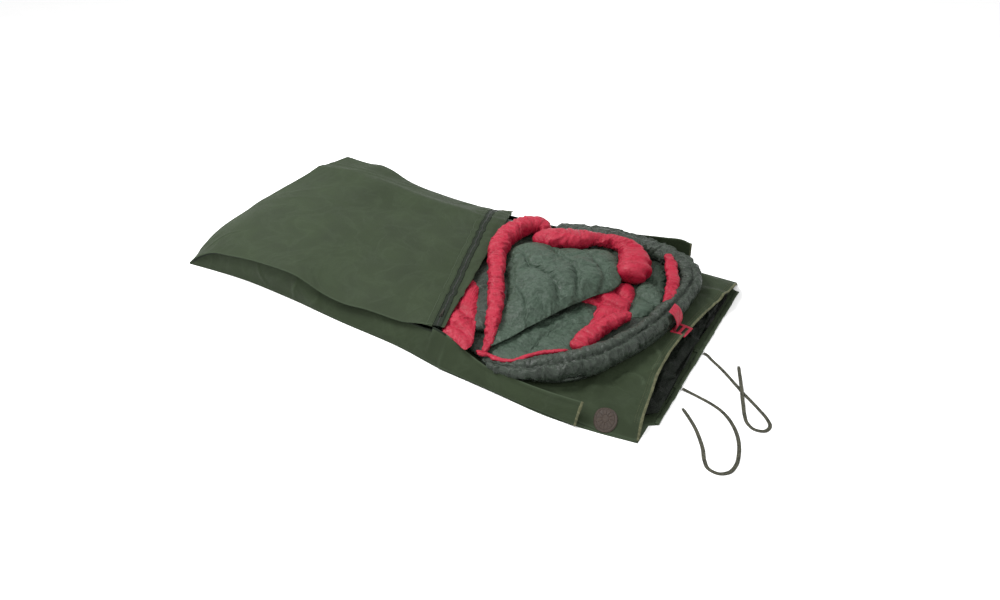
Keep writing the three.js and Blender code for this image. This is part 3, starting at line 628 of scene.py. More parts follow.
def stitches(name, path, normal, body, slot="pale_hem", spacing=0.0065, length=0.0042, radius=0.0006):
    """Threads along a path, each a five-sided spindle lying on the cloth."""
    at = path_through(path, max(4, int(length_of(path) / spacing)))
    t = unit(np.gradient(at, axis=0))
    side = unit(np.cross(t, normal))
    up = np.cross(side, t)
    verts, faces = [], []
    for p, tt, ss, uu in zip(at[1:-1], t[1:-1], side[1:-1], up[1:-1]):
        base = len(verts)
        verts.append(p - tt * length / 2 - uu * radius * 0.6)
        for along in (-0.28, 0.28):
            for k in range(5):
                a = 2 * math.pi * k / 5
                verts.append(p + tt * length * along + (ss * math.cos(a) + uu * math.sin(a)) * radius)
        verts.append(p + tt * length / 2 - uu * radius * 0.6)
        for k in range(5):
            n = (k + 1) % 5
            faces.append((base, base + 1 + n, base + 1 + k))
            faces.append((base + 1 + k, base + 1 + n, base + 6 + n, base + 6 + k))
            faces.append((base + 11, base + 6 + k, base + 6 + n))
    return finish_mesh(name, verts, faces, np.array(verts)[:, :2], body, slot)


y_mouth = np.linspace(-0.540, 0.532, 150)
edge_path = np.stack([mouth_x(y_mouth), y_mouth, sleeve_height(mouth_x(y_mouth), y_mouth)], 1)
hem("mouth_binding", edge_path + (-0.002, 0, 0.0002), 0.0046, 0.0024, "sack", replaces=["mouth_hem"])
for k, back in enumerate((0.016, 0.024)):
    row = np.stack([mouth_x(y_mouth) - back, y_mouth, sleeve_height(mouth_x(y_mouth) - back, y_mouth) + 0.0004], 1)
    stitches("mouth_stitch_%d" % k, row[6:-6], UP, "sack")

LIP_X = 1.0745
y_lip = np.linspace(-0.438, 0.474, 110)
lip_path = np.stack([np.full_like(y_lip, LIP_X - 0.006), y_lip, 0.0042 + 0.0012 * np.abs(noise(y_lip * 22, 0, 44))], 1)
hem("lip_binding", lip_path, 0.0075, 0.0022, "sack", "canvas", ["lip_hem"], seed=61)
stitches("lip_stitch", lip_path + (-0.002, 0, 0.0022), UP, "sack", "canvas")
for which, y in (("near", -0.230), ("far", 0.0)):
    lo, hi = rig.box("cord_tab_" + which)
    tab = grid_of(10, 8, lambda u, v: stack(lo[0] + (hi[0] - lo[0]) * u, lo[1] + (hi[1] - lo[1]) * v,
                                            0.0076 + 0.0006 * np.sin(u * 9) - 0.0015 * (u < 0.1)))
    sheet("tab_" + which, tab, 0.0018, "sack", "canvas", ["cord_tab_" + which])
print("hems and stitches:", len([p for p in PIECES if "stitch" in p]), "rows so far")

# %% [markdown]
# ## The sack's walls
# A strip of canvas stands on each side and across the foot, sewn to the groundsheet below and zipped
# to the cover above. At the head end the side strips are free: the near one leans in and ends in a
# selvedge, the far one stands taller. Each side is one strip, so its mesh bends where the free part
# begins.

# %% Walls
near_top_y = through([(-1.046, -.541), (-1.0, -.522), (-.93, -.503), (-.8, -.496), (.20, -.494), (.30, -.503),
                      (.40, -.522), (.48, -.535), (.60, -.541), (.75, -.541), (.85, -.536)])
near_free_z = through([(.232, .114), (.30, .106), (.40, .079), (.48, .064), (.60, .063), (.75, .067), (.85, .072)])


WALL_FOOT_X, NEAR_WALL_LENGTH, FAR_WALL_LENGTH = -1.046, 1.896, 1.882
NEAR_FREE_X = 0.232  # towards the head from here the near wall stands free of the cover


def near_wall_place(u, v):
    x = WALL_FOOT_X + u * NEAR_WALL_LENGTH
    base = np.where(x < 0.3, near_seam(x) + 0.0015, -0.573 - 0.012 * smoothstep(0.3, 0.7, x))
    top_z = np.where(x < NEAR_FREE_X, near_edge(x) - 0.011, near_free_z(x))
    top_z = np.maximum(top_z, 0.006)
    y = base + (near_top_y(x) - base) * v**1.15
    low = np.where(x < 0.3, 0.0035, 0.007)
    z = low + (top_z - low) * v
    bulge = np.sin(np.pi * v) * smoothstep(0.02, 0.10, top_z)
    crease = folds(x, z * 1.2, 71, 62, 0.16, 0.09) + 0.7 * folds(x, z, 73, -50, 0.14, 0.08)
    y = y - bulge * (0.004 + 0.010 * crease + 0.006 * layered(x * 3.2, z * 6, 75, 2))
    return stack(x, y, z)


NEAR_TURN = ((0.25, -0.54, 0.05), (0.42, -0.54, 0.05))
near_wall = sheet("near_wall_cloth", grid_of(260, 20, near_wall_place), CANVAS,
                  ("sack", "near_flap") + NEAR_TURN, "canvas", ["near_wall", "near_flap"])
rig.sheet(near_wall, flat=(0.13, 1.91), held="stretched")

far_top = through([(-1.046, .115), (-.89, .108), (-.81, .117), (-.75, .108), (-.65, .074), (-.43, .047),
                   (-.21, .041), (.0, .044), (.2, .052), (.32, .062), (.45, .085), (.60, .110), (.72, .130),
                   (.80, .140), (.836, .132)])


def far_wall_place(u, v):
    x = 0.836 - u * FAR_WALL_LENGTH
    free = smoothstep(0.25, 0.36, x)
    base = 0.5435 - 0.001 * free
    top_y = 0.500 * (1 - free) + 0.534 * free
    top_z = far_top(x)
    y = base + (top_y - base) * v**1.15
    z = 0.0035 + 0.003 * free + (top_z - 0.0035 - 0.003 * free) * v
    crease = folds(x, z * 1.2, 77, 66, 0.16, 0.09) + 0.7 * folds(x, z, 79, -55, 0.14, 0.08)
    y = y + np.sin(np.pi * v) * (0.003 + 0.005 * crease * smoothstep(0.03, 0.08, top_z)) * (1 - 0.6 * free)
    return stack(x, y, z)


FAR_TURN = ((0.25, 0.54, 0.05), (0.40, 0.54, 0.05))
far_wall = sheet("far_wall_cloth", grid_of(260, 20, far_wall_place), CANVAS,
                 ("sack", "far_flap") + FAR_TURN, "canvas", ["far_wall", "far_flap"])
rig.sheet(far_wall, flat=(0.11, 1.90), held="stretched")


foot_top = through([(-.541, .006), (-.484, .022), (-.356, .058), (-.166, .104), (.038, .128), (.176, .138),
                    (.325, .134), (.50, .113), (.541, .108)])


def foot_wall_place(u, v):
    y = 0.541 - u * 1.082
    top = foot_top(y)
    crease = folds(y, v * 0.1, 81, 70, 0.16, 0.09)
    x = -1.0455 - np.sin(np.pi * v) * (0.002 + 0.004 * crease) * smoothstep(0.02, 0.08, top) + 0.004 * v
    return stack(x, y, 0.0035 + (top - 0.0035) * v)


foot_wall = sheet("foot_wall_cloth", grid_of(120, 16, foot_wall_place), CANVAS, "sack", "canvas", ["foot_wall"])
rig.sheet(foot_wall, flat=(0.14, 1.09), held="stretched")

near_end = near_wall_place(np.full(20, 1.0), np.linspace(0.0, 1, 20))
hem("near_flap_binding", near_end + (-0.003, -0.0006, 0), 0.0046, 0.0026, "near_flap",
    replaces=["near_flap_hem"], seed=63)
far_end = far_wall_place(np.zeros(20), np.linspace(0.0, 1, 20))
hem("far_flap_binding", far_end + (-0.003, 0.0006, 0), 0.0046, 0.0026, "far_flap",
    replaces=["far_flap_hem"], seed=64)
x_free = np.linspace(0.44, 0.84, 60)
on_flap = near_wall_place((x_free - WALL_FOOT_X) / NEAR_WALL_LENGTH, np.full(60, 0.84))
stitches("near_flap_stitch", on_flap + (0, -0.0006, 0.0002), (0, -0.8, 0.6), "near_flap", "canvas")
# The near zip tape is the real zip, but it is set lower and taller than the zip so its dark band also stands in for the
# shadow under the cover's near edge: partly real tape, partly painted shadow.
for name, xs, y_of, z_of in (
        ("near_side_zip", np.linspace(-1.030, 0.292, 150), lambda x: near_top_y(x) - 0.0022,
         lambda x: np.where(x < NEAR_FREE_X, near_edge(x) - 0.0165, near_free_z(x) - 0.004)),
        ("far_side_zip", np.linspace(0.292, -1.030, 150), lambda x: np.full_like(x, 0.5015),
         lambda x: far_top(x) - 0.001)):
    line = np.stack([xs, y_of(xs), np.maximum(z_of(xs), 0.010)], 1)
    rings = tube_rings(line, 0.0024, 0.0066, 8, 0.7)
    loft(name + "_tape", rings, "sack", "zip_tape", [name])
print("walls:", len(near_wall.data.vertices), "vertices on the near one")

# %% [markdown]
# ## The cover
# One sheet of canvas from the foot to the zip. Its edges are turned down over the walls, so a dark
# line of shadow runs under them; on the near side the zip tape below that edge is set low and tall as a
# painted shadow line. It bends across its middle when the cover is folded back.

# %% Cover
cover_near_y = through([(-1.052, -.541), (-1.0, -.530), (-.93, -.519), (-.80, -.513), (-.2, -.511), (.24, -.5015)])
cover_far_y = through([(-1.052, .515), (-.8, .511), (-.1, .506), (.05, .500)])
COVER_FOOT_X = -1.051
PUCKERS = 34  # along the whole zip


def zip_point(v, beside, lift=0.0):
    """A point beside the zip line; the cloth gathers a little on its far three quarters."""
    v, beside, lift = np.broadcast_arrays(np.asarray(v, float), beside, lift)
    loose = smoothstep(0.10, 0.18, v)
    scallop = 0.0034 * loose * noise(v * PUCKERS, 0, 83)
    rise = 0.0024 * loose * noise(v * PUCKERS, 3, 84) + lift
    return zip_line(np.clip(v, 0, 1)) + zip_head * (beside + scallop)[..., None] + UP * rise[..., None]


def cover_place(u, v):
    end = zip_point(v, -0.002, 0.0012)
    share = (zip_line(v)[..., 1] - ZIP_NEAR[1]) / (ZIP_FAR[1] - ZIP_NEAR[1])
    x = COVER_FOOT_X + (end[..., 0] - COVER_FOOT_X) * u
    y = cover_near_y(x) + (cover_far_y(x) - cover_near_y(x)) * share
    level = EDGE_Y * (2 * share - 1)
    z = cover_height(x, level) + cover_folds(x, y)
    short = x - end[..., 0]
    near_zip = smoothstep(-0.15, 0.0, short)
    pucker = 0.004 * noise(v * PUCKERS, 0, 83) * smoothstep(-0.09, -0.02, short) * smoothstep(0.1, 0.2, v)
    y = y + (end[..., 1] - y) * near_zip
    z = z + (end[..., 2] - z) * near_zip + pucker * (1 - smoothstep(-0.02, 0, short))
    return stack(x, y, np.maximum(z, 0.003))


top = grid_of(300, 200, cover_place)


def turned_down(edge, column, turns):
    """Rows that carry an edge over and down: each turn is a step sideways and a drop."""
    rows = []
    for out, drop in turns:
        row = edge.copy()
        row[:, column] += out
        row[:, 2] = np.maximum(row[:, 2] - drop, 0.0022)
        rows.append(row)
    return rows


near_rows = turned_down(top[:, 0], 1, ((0.006, 0.0068), (0.0006, 0.0072), (-0.0026, 0.0040), (-0.0018, 0.0010)))
far_rows = turned_down(top[:, -1], 1, ((0.0016, 0.001), (0.0026, 0.005), (0.0012, 0.0105), (-0.003, 0.0115)))
top = np.concatenate([np.stack(near_rows, 1), top, np.stack(far_rows, 1)], 1)
foot_rows = turned_down(top[0], 0, ((0.003, 0.0115), (-0.0012, 0.0105), (-0.0026, 0.005), (-0.0016, 0.001)))
top = np.concatenate([np.stack(foot_rows, 0), top], 0)
COVER_TURN = ((-0.62, 0, 0.15), (-0.30, 0, 0.15))
cover = sheet("cover_cloth", top, CANVAS, ("sack", "cover") + COVER_TURN, "canvas", ["foot_cover", "head_cover"])
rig.sheet(cover, flat=(1.10, 1.18), held="draped", rests_on=["bag_top"])
print("cover:", len(cover.data.vertices), "vertices")

# %% [markdown]
# ## The zip across the cover
# A hem, a tape, the coil, a second tape and a strip of canvas lie side by side along the zip. The
# coil's two rows of teeth are separate small blocks that interlock, as nylon coil does when closed.
# The far end of the strip is a pale selvedge.

# %% Zip, hem and facing
def band(name, start, end, lift, thick, slot, replaces, across=5, bow=0.0):
    """A strip between two distances from the zip line."""
    def place(u, v):
        return zip_point(v, start + (end - start) * u, lift + bow * np.sin(np.pi * u))
    return sheet(name, grid_of(across, 260, place), thick, "cover", slot, replaces)


band("cover_hem_cloth", -0.026, -0.0008, 0.0034, 0.0014, "canvas", ["cover_hem"], 9, bow=0.0008)
band("zip_tape_foot_cloth", -0.0030, 0.0142, 0.0016, 0.0010, "zip_tape", ["zip_tape_foot"])
band("zip_tape_head_cloth", 0.0144, 0.0300, 0.0016, 0.0010, "zip_tape", ["zip_tape_head"])
along = np.linspace(0.004, 0.996, 400)
for k, beside in enumerate((-0.0225, -0.0045)):
    stitches("cover_stitch_%d" % k, zip_point(along, beside, 0.0046), UP, "cover", "canvas")

TEETH = 470
BLOCK = [(0, 2, 4, 6), (1, 7, 5, 3), (0, 1, 3, 2), (2, 3, 5, 4), (4, 5, 7, 6), (6, 7, 1, 0)]


def add_block(verts, faces, corners, flipped=False):
    """One tooth: four pairs of corners round it, and its six faces."""
    base = len(verts)
    verts += corners
    faces += [tuple(base + c for c in (face[::-1] if flipped else face)) for face in BLOCK]


verts, faces = [], []
for i, v in enumerate(np.linspace(0.004, 0.996, TEETH)):
    p = zip_point(np.array(v), 0.0143, 0.0014)
    out = zip_head * (1 if i % 2 else -1)
    corners = []
    for along_, lift, wide in ((-1, -0.0006, 1.0), (1, -0.0006, 1.0), (1, 0.0010, 0.7), (-1, 0.0010, 0.7)):
        middle_ = p + zip_dir * 0.0009 * along_ + (0, 0, lift)
        corners += [middle_ - out * 0.0010 * wide, middle_ + out * 0.0030 * wide]
    add_block(verts, faces, corners, flipped=i % 2 == 1)
finish_mesh("zip_teeth", verts, faces, np.array(verts)[:, :2], "cover", "zip_coil", ["zip_coil"])

facing_width = through([(0, .014), (.10, .020), (.35, .042), (.6, .060), (.85, .070), (.94, .068), (1.0, .056)])


def facing_place(u, v):
    point = zip_point(v, 0.0286 + facing_width(v) * u, -0.0005)
    droop = 0.010 * smoothstep(0.2, 1, u) * smoothstep(0.1, 0.9, v)
    wave = 0.0030 * layered(v * 13, u * 1.3, 85, 2) * smoothstep(0.1, 0.6, u)
    tail = smoothstep(0.93, 1.0, v)
    point[..., 1] += 0.010 * tail
    point[..., 2] += wave - droop * (1 - tail) - 0.006 * tail * u
    return point


facing = sheet("facing_cloth", grid_of(16, 280, facing_place), 0.0014, "cover", "canvas", ["cover_facing"])
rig.sheet(facing, flat=(0.08, 1.08), held="stretched", area=0.052)
far_end = facing_place(np.linspace(0.0, 1, 24), np.ones(24))
hem("facing_binding", far_end + (0, -0.002, 0.0004), 0.0050, 0.0022, "cover", seed=66)
on_facing = facing_place(np.full(200, 0.93), np.linspace(0.05, 0.97, 200))
stitches("facing_stitch", on_facing + (0, 0, 0.0005), UP, "cover", "canvas")
print("zip:", TEETH, "teeth")

# %% [markdown]
# ## Padded pieces
# Down in thin nylon takes two shapes here. A roll is a tube whose ends close, gathered along its
# length, so its creases run round it. A pillow fills a closed outline and is stitched through along
# seams, so it dips at each seam and puckers across it. Both start from these drawn shapes, and the
# cloth solver settles them afterwards.

# %% Padded builders
PADDED = {}  # piece: fill
RING_STEP = 0.0045  # between the rings of a roll


def roll(name, stations, body, slot, replaces=(), fill=0.8, gather=0.10, pitch=0.022, around=40, seed=0, groove=None):
    """A gathered tube through stations of (x, y, z, half width, half height), with one seam along it."""
    wide = path_through(stations, 24)
    length = length_of(wide[:, :3])
    count = max(24, int(length / RING_STEP))
    at = path_through(stations, count)
    path, half_width, half_height = at[:, :3], at[:, 3], at[:, 4]
    reach = np.linspace(0, length, count)
    ends = np.sqrt(np.clip(1 - (1 - np.clip(np.minimum(reach, length - reach) / 0.022, 0, 1)) ** 2, 0.02, 1))
    rings = tube_rings(path, half_width * ends, half_height * ends, around, 0.9)
    a = np.linspace(0, 2 * np.pi, around, endpoint=False)[None]
    u = reach[:, None] / pitch
    lean = 0.8 * noise(u * 0.25, a * 0.6, seed + 2)
    crease = 1 - 2.2 * np.abs(noise(u + lean, np.cos(a) * 0.9 + 3, seed))
    crease = crease + 0.5 * noise(u * 2.1 + lean, np.sin(a) + 5, seed + 1)
    puff = 0.6 * noise(u * 0.28, 0 * a, seed + 3)
    swell = 1 + (gather * np.clip(crease, -1, 1) + 0.10 * puff) * ends[:, None]
    if groove:
        swell = swell - groove[1] * np.exp(-(((a - 2 * np.pi * groove[0]) / 0.17) ** 2)) * ends[:, None] ** 2
    rings = path[:, None] + (rings - path[:, None]) * swell[:, :, None]
    loft(name, rings, body, slot, replaces)
    PADDED[name] = fill


def pillow(name, outline, centre, top, base, body, slot, replaces=(), fill=0.7, seams=(), dip=0.55, seam_width=0.018,
           edge=3.2, gather=0.004, rings_up=44, around=200, seed=0):
    """A stitched cushion over a closed outline. top is a height, or a function of x and y."""
    closed = path_through(outline[1:] + outline[:2], around + 1)[:-1]
    area = np.sum(closed[:, 0] * np.roll(closed[:, 1], -1) - closed[:, 1] * np.roll(closed[:, 0], -1))
    if area < 0:
        closed = closed[::-1]
    centre = np.array(centre, float)
    inner_rings = int(rings_up * 0.6)
    to_edge = np.linspace(0, 1, rings_up - inner_rings + 1)[1:]
    s = np.r_[np.linspace(0.02, 0.80, inner_rings), 1 - 0.2 * (1 - to_edge) ** 1.6]
    xy = centre + (closed - centre)[None] * s[:, None, None]
    x, y = xy[..., 0], xy[..., 1]
    high = top(x, y) if callable(top) else np.full_like(x, top)
    shape = (1 - np.clip(s, 0, 1) ** edge) ** 0.55
    rise = (high - base) * shape[:, None]
    for k, line in enumerate(seams):
        far, along_ = near_line(x, y, line)
        rise = rise * (1 - dip * np.exp(-((far / seam_width) ** 2)))
        beside = np.exp(-far / 0.022) * (1 - np.exp(-((far / 0.004) ** 2)))
        pucker = noise(along_ * 75, far * 20, seed + 10 + k) * beside
        rise = rise + 0.0035 * pucker * shape[:, None]
    steps = np.arange(around)[None] / around * 2 * np.pi
    turn = np.stack([np.cos(steps) * 14, np.sin(steps) * 14], 0)
    radial = noise(turn[0] + 40, turn[1] + 40, seed + 4) + 0.5 * noise(turn[0] * 2 + 40, turn[1] * 2 + 40, seed + 5)
    rise = rise + gather * radial * (s**5)[:, None] * shape[:, None] * 1.4
    rise = rise + 0.0030 * layered(x * 22, y * 22, seed + 6, 3) * shape[:, None]
    upper = np.stack([x, y, base + np.maximum(rise, 0.0)], 2)
    under = centre + (closed - centre)[None] * np.array([0.985, 0.9, 0.6, 0.3])[:, None, None]
    under_z = base - 0.003 * np.array([0.6, 1, 1, 1])[:, None]
    lower = stack(under[..., 0], under[..., 1], under_z)
    loft(name, np.concatenate([upper, lower], 0), body, slot, replaces, plan=True)
    PADDED[name] = fill


print("padded builders ready")

# %% [markdown]
# ## The sleeping pad
# It lies inside the sleeve and shows only at the mouth, where its dark cover is rumpled.

# %% Pad
xs = np.r_[np.linspace(-0.958, 0.93, 90), np.linspace(0.935, 1.060, 56)]
across, up = flat_ring(150, 6, 30)
corner = np.clip(np.minimum(xs + 0.958, 1.062 - xs) / 0.04, 0, 1)
half = 0.436 - 0.04 * (1 - np.sqrt(1 - (1 - corner) ** 2))
y = half[:, None] * across[None]
z_half = 0.0135 * np.clip(corner, 0.10, 1) ** 0.5
rough = smoothstep(0.90, 0.99, xs)[:, None] * (up > 0.2)
rumple = 0.012 * folds(xs[:, None], y, 91, 35, 0.16, 0.05, 1.3)
rumple = rumple + 0.011 * folds(xs[:, None], y, 95, -50, 0.12, 0.04, 1.3)
rumple = rumple + 0.005 * layered(xs[:, None] * 26, y * 26, 92, 3) - 0.004
z = 0.0242 + z_half[:, None] * up[None] + rough * rumple * np.clip(corner * 3, 0.3, 1)[:, None]
z = np.minimum(z, np.where(xs[:, None] < mouth_x(y) + 0.004, 0.0385, 0.0520))
front = smoothstep(0.98, 1.06, xs)[:, None]
x = np.broadcast_to(xs[:, None], y.shape) - front * 0.030 * (0.5 + 0.5 * layered(y * 15, z * 40, 93, 3))
pad = loft("pad_cushion", np.stack([x, y, np.maximum(z, 0.0068)], 2), "pad", "pad_cover", ["sleeping_pad"])
PADDED["pad_cushion"] = 0.9
print("pad:", len(pad.data.vertices), "vertices")

# %% [markdown]
# ## The leather patch
# A round patch of leather is sewn on the near corner of the sleeve. Its face is pressed with a plain
# ring and spokes. It lies on the canvas and follows its slope.

# %% Leather patch
PATCH_AT, PATCH_R = (0.927, -0.526), 0.038


def patch_place(u, v):
    r, turn = PATCH_R * (0.02 + 0.98 * u), -2 * np.pi * v
    x, y = PATCH_AT[0] + r * np.cos(turn), PATCH_AT[1] + r * np.sin(turn)
    ring_ = np.exp(-(((r - 0.030) / 0.0016) ** 2)) + np.exp(-(((r - 0.011) / 0.0014) ** 2))
    from_spoke = ((turn * 12 / (2 * np.pi)) % 1 - 0.5) * 2 * np.pi * r / 12
    spokes = np.exp(-((from_spoke / 0.0011) ** 2)) * ((r > 0.013) & (r < 0.0275))
    edge = -0.0014 * smoothstep(0.036, 0.038, r)
    level = np.maximum(sleeve_height(x, y), 0.0035) + 0.0038
    return stack(x, y, level - 0.0017 * np.clip(ring_ + spokes, 0, 1) + edge)


uu, vv = np.meshgrid(np.linspace(0, 1, 60), np.linspace(0, 1, 181)[:-1], indexing="ij")
top_rings = patch_place(uu, vv)[:, ::-1]
under_rings = top_rings[::-6].copy()
under_rings[..., 2] -= 0.0026
loft("patch", np.concatenate([top_rings, under_rings], 0), "sack", "leather", ["leather_patch"], plan=True)
round_patch = patch_place(np.full(120, 0.925), np.linspace(0, 1, 120))
stitches("patch_stitch", round_patch + (0, 0, 0.0004), UP, "sack", "leather", 0.0042, 0.0028, 0.0005)
print("patch at", PATCH_AT)

# %% [markdown]
# ## The bag's shell
# The bag's back quilt lies on the pad from foot to hood, as one slab with cross baffles. A puffy
# shell roll runs round its head end. The upper quilt lies on the back quilt and goes under the cover.

# %% Shell
def slab(name, near, far, under, over, x0, x1, body, slot, replaces, seed, baffle=0.16):
    """A flat quilt whose near and far edges are curves, with cross seams every baffle metres."""
    xs = x0 + (x1 - x0) * (0.5 - 0.5 * np.cos(np.pi * np.linspace(0.02, 0.98, 300)))
    lo, hi = near(xs), far(xs)
    across, up = flat_ring(110, 6, 24)
    y = (lo + hi)[:, None] / 2 + (hi - lo)[:, None] / 2 * across[None]
    tip = np.clip(np.minimum(xs - x0, x1 - xs) / 0.02, 0.05, 1)[:, None] ** 0.5
    x = np.broadcast_to(xs[:, None], y.shape)
    from_seam = np.abs((x + 0.03 * noise(x * 3, y * 3, seed)) / baffle % 1 - 0.5) * baffle
    puff = 1 - 0.5 * np.exp(-((from_seam / 0.012) ** 2))
    pucker = 0.22 * noise(y * 80, x * 18, seed + 5) * np.exp(-from_seam / 0.03)
    wrinkle = 0.16 * layered(x * 22, y * 22, seed + 1, 3)
    edge = np.clip((1 - np.abs(across)) / 0.12, 0, 1)[None] ** 0.5
    loose = np.where(up > 0.2, (0.55 + 0.45 * edge) * (puff + wrinkle + pucker), 1)
    z = (under + over) / 2 + (over - under) / 2 * up[None] * tip * loose
    loft(name, np.stack([x, y, z], 2), body, slot, replaces)
    PADDED[name] = 0.6


HOOD_TURN = ("bag", "hood", (0.772, 0, 0.07), (0.822, 0, 0.07))
shell_near = through([(-.957, .10), (-.945, .03), (-.9, -.07), (-.6, -.18), (-.2, -.32), (.1, -.41), (.33, -.465),
                      (.45, -.503), (.55, -.522), (.65, -.508), (.74, -.465), (.80, -.395), (.86, -.265), (.90, -.165),
                      (.93, -.05), (.955, .08)])
shell_far = through([(-.957, .12), (-.94, .22), (-.88, .29), (-.6, .355), (-.2, .415), (.1, .437), (.33, .458),
                     (.48, .492), (.6, .502), (.74, .470), (.83, .428), (.9, .37), (.94, .28), (.955, .18)])
slab("bag_back_quilt", shell_near, shell_far, 0.0475, 0.069, -0.956, 0.954, HOOD_TURN, "shell",
     ["bag_base", "hood_base"], 101)
upper_near = through([(-.947, .08), (-.90, -.03), (-.6, -.15), (-.2, -.285), (.1, -.375), (.25, -.398), (.36, -.398),
                      (.43, -.33), (.478, -.16), (.53, -.04), (.60, .06), (.652, .17)])
upper_far = through([(-.947, .12), (-.90, .21), (-.6, .305), (-.2, .362), (.1, .395), (.33, .415), (.46, .415),
                     (.56, .38), (.62, .31), (.652, .21)])
slab("bag_upper_quilt", upper_near, upper_far, 0.072, 0.1015, -0.946, 0.650, "bag", "shell",
     ["bag_top", "side_baffle_near", "side_baffle_far", "foot_baffle"], 105)
roll("bag_rim", [(.25, .425, .092, .030, .024), (.33, .437, .094, .034, .028), (.45, .462, .096, .042, .034),
                 (.60, .474, .096, .044, .036), (.74, .456, .095, .042, .036), (.84, .412, .092, .042, .036),
                 (.908, .315, .089, .042, .036), (.920, .20, .087, .038, .036), (.912, .08, .086, .036, .036),
                 (.893, -.05, .086, .037, .035), (.860, -.17, .086, .042, .035), (.820, -.285, .087, .046, .037),
                 (.755, -.388, .088, .052, .038), (.68, -.458, .083, .046, .034), (.60, -.505, .075, .032, .027),
                 (.52, -.522, .068, .021, .020), (.45, -.510, .064, .014, .014)],
     HOOD_TURN, "shell", ["rim_far", "rim_near", "hood_shell"], fill=0.7, gather=0.11, pitch=0.030, around=48, seed=111,
     groove=(0.29, 0.40))
print("shell:", [p for p in PIECES if p.startswith("bag_")])

# %% [markdown]
# ## The opened quilt
# The head end of the upper quilt is unzipped and folded back, so its lining faces up in a soft dome.
# Below it the back quilt's own lining shows. Crimson parts frame them: the draft tube along the zip,
# the collar over the shoulders and the strip inside the hood.

# %% Lining and crimson parts
DOME = [(.188, .12), (.205, .205), (.27, .235), (.35, .245), (.42, .27), (.49, .31), (.55, .325), (.61, .285),
        (.66, .20), (.685, .12), (.675, .065), (.64, .015), (.605, -.065), (.570, -.145), (.545, -.225),
        (.515, -.31), (.490, -.40), (.455, -.47), (.425, -.40), (.325, -.13), (.240, .0)]
DOME_SEAMS = [[(.274, .096), (.356, .006), (.408, -.007), (.503, -.063), (.541, -.122), (.576, -.203)],
              [(.36, .19), (.439, .133), (.512, .085), (.587, -.053)],
              [(.227, .067), (.337, -.094), (.434, -.186), (.519, -.312)],
              [(.45, .26), (.54, .20), (.62, .12), (.655, .03)]]


def dome_top(x, y):
    towards_edge = smoothstep(0.40, 0.68, 0.75 * x - 0.65 * y)
    return 0.156 - 0.028 * towards_edge - 0.046 * smoothstep(-0.16, -0.46, y)


pillow("opened_lining", DOME, (.46, .0), dome_top, 0.0995, "bag", "lining", ["quilt_fold"], fill=0.7,
       seams=DOME_SEAMS, dip=0.30, seam_width=0.013, edge=2.6, seed=121, around=260, rings_up=60)
LOWER = [(.426, -.318), (.487, -.226), (.554, -.150), (.615, -.03), (.68, -.06), (.70, -.184), (.722, -.310),
         (.715, -.355), (.66, -.41), (.60, -.455), (.560, -.500), (.515, -.515), (.462, -.500), (.432, -.415)]
BACK_SEAMS = [[(.447, -.353), (.499, -.274), (.564, -.185), (.613, -.118), (.639, -.050)],
              [(.577, -.411), (.575, -.334), (.587, -.257), (.620, -.188), (.654, -.131)]]
pillow("back_lining", LOWER, (.58, -.30), 0.0835, 0.0665, "bag", "lining", fill=0.5, seed=131, around=200, rings_up=40,
       seams=BACK_SEAMS, dip=0.6, edge=5)
roll("draft_tube_cloth", [(.268, .300, .118, .020, .020), (.222, .338, .128, .034, .030),
                          (.172, .318, .134, .041, .034), (.145, .24, .137, .042, .035),
                          (.145, .14, .137, .040, .034), (.17, .055, .136, .037, .032),
                          (.21, -.02, .134, .034, .029), (.26, -.105, .131, .031, .027),
                          (.31, -.19, .127, .030, .025), (.36, -.275, .121, .028, .023),
                          (.40, -.36, .112, .024, .019), (.43, -.43, .100, .017, .014),
                          (.452, -.505, .090, .010, .008)],
     "bag", "red_shell", ["draft_tube"], gather=0.13, pitch=0.020, seed=141)
roll("collar_roll", [(.238, .232, .124, .022, .020), (.285, .248, .132, .050, .032), (.35, .268, .137, .055, .034),
                     (.42, .315, .136, .042, .032), (.485, .362, .130, .027, .026), (.55, .383, .126, .029, .026),
                     (.62, .362, .124, .042, .032), (.665, .30, .122, .056, .040), (.695, .235, .118, .062, .042),
                     (.708, .175, .110, .046, .034)],
     "bag", "red_shell", ["collar_quilt", "collar_bulb"], gather=0.12, pitch=0.026, around=52, seed=151)
NECK = [(.585, -.015), (.60, .053), (.645, .138), (.708, .196), (.742, .153), (.765, .058), (.775, -.037),
        (.745, -.109), (.69, -.150), (.668, -.092), (.655, -.02)]
pillow("neck_cloth", NECK, (.70, .03), 0.092, 0.0665, "bag", "red_shell", ["neck_lining"], fill=0.6, seed=161,
       around=150, rings_up=36, edge=4, gather=0.006,
       seams=[[(.62, .03), (.68, .0), (.76, .0)], [(.66, .11), (.70, .09), (.76, .08)]])
roll("shoulder_roll", [(.790, -.02, .088, .020, .016), (.765, -.10, .094, .030, .022), (.738, -.18, .096, .034, .024),
                       (.724, -.255, .095, .034, .024), (.718, -.325, .090, .026, .020)],
     "bag", "red_shell", ["collar_near"], gather=0.14, pitch=0.020, seed=171)
FACING = [(.168, -.135), (.224, -.180), (.30, -.31), (.372, -.44), (.400, -.50), (.398, -.53), (.334, -.512),
          (.268, -.49), (.242, -.428), (.208, -.307)]
pillow("corner_cloth", FACING, (.290, -.40), 0.124, 0.0995, "bag", "red_shell", ["corner_facing"], fill=0.7, seed=181,
       around=130, rings_up=34, edge=2.6, gather=0.006,
       seams=[[(.225, -.34), (.29, -.36), (.34, -.39)], [(.25, -.45), (.31, -.45), (.37, -.47)]])
HOOD_IN = [(.742, .179), (.735, .306), (.748, .400), (.795, .352), (.838, .240), (.868, .128), (.862, .058),
           (.829, .005), (.800, -.018), (.768, .083)]
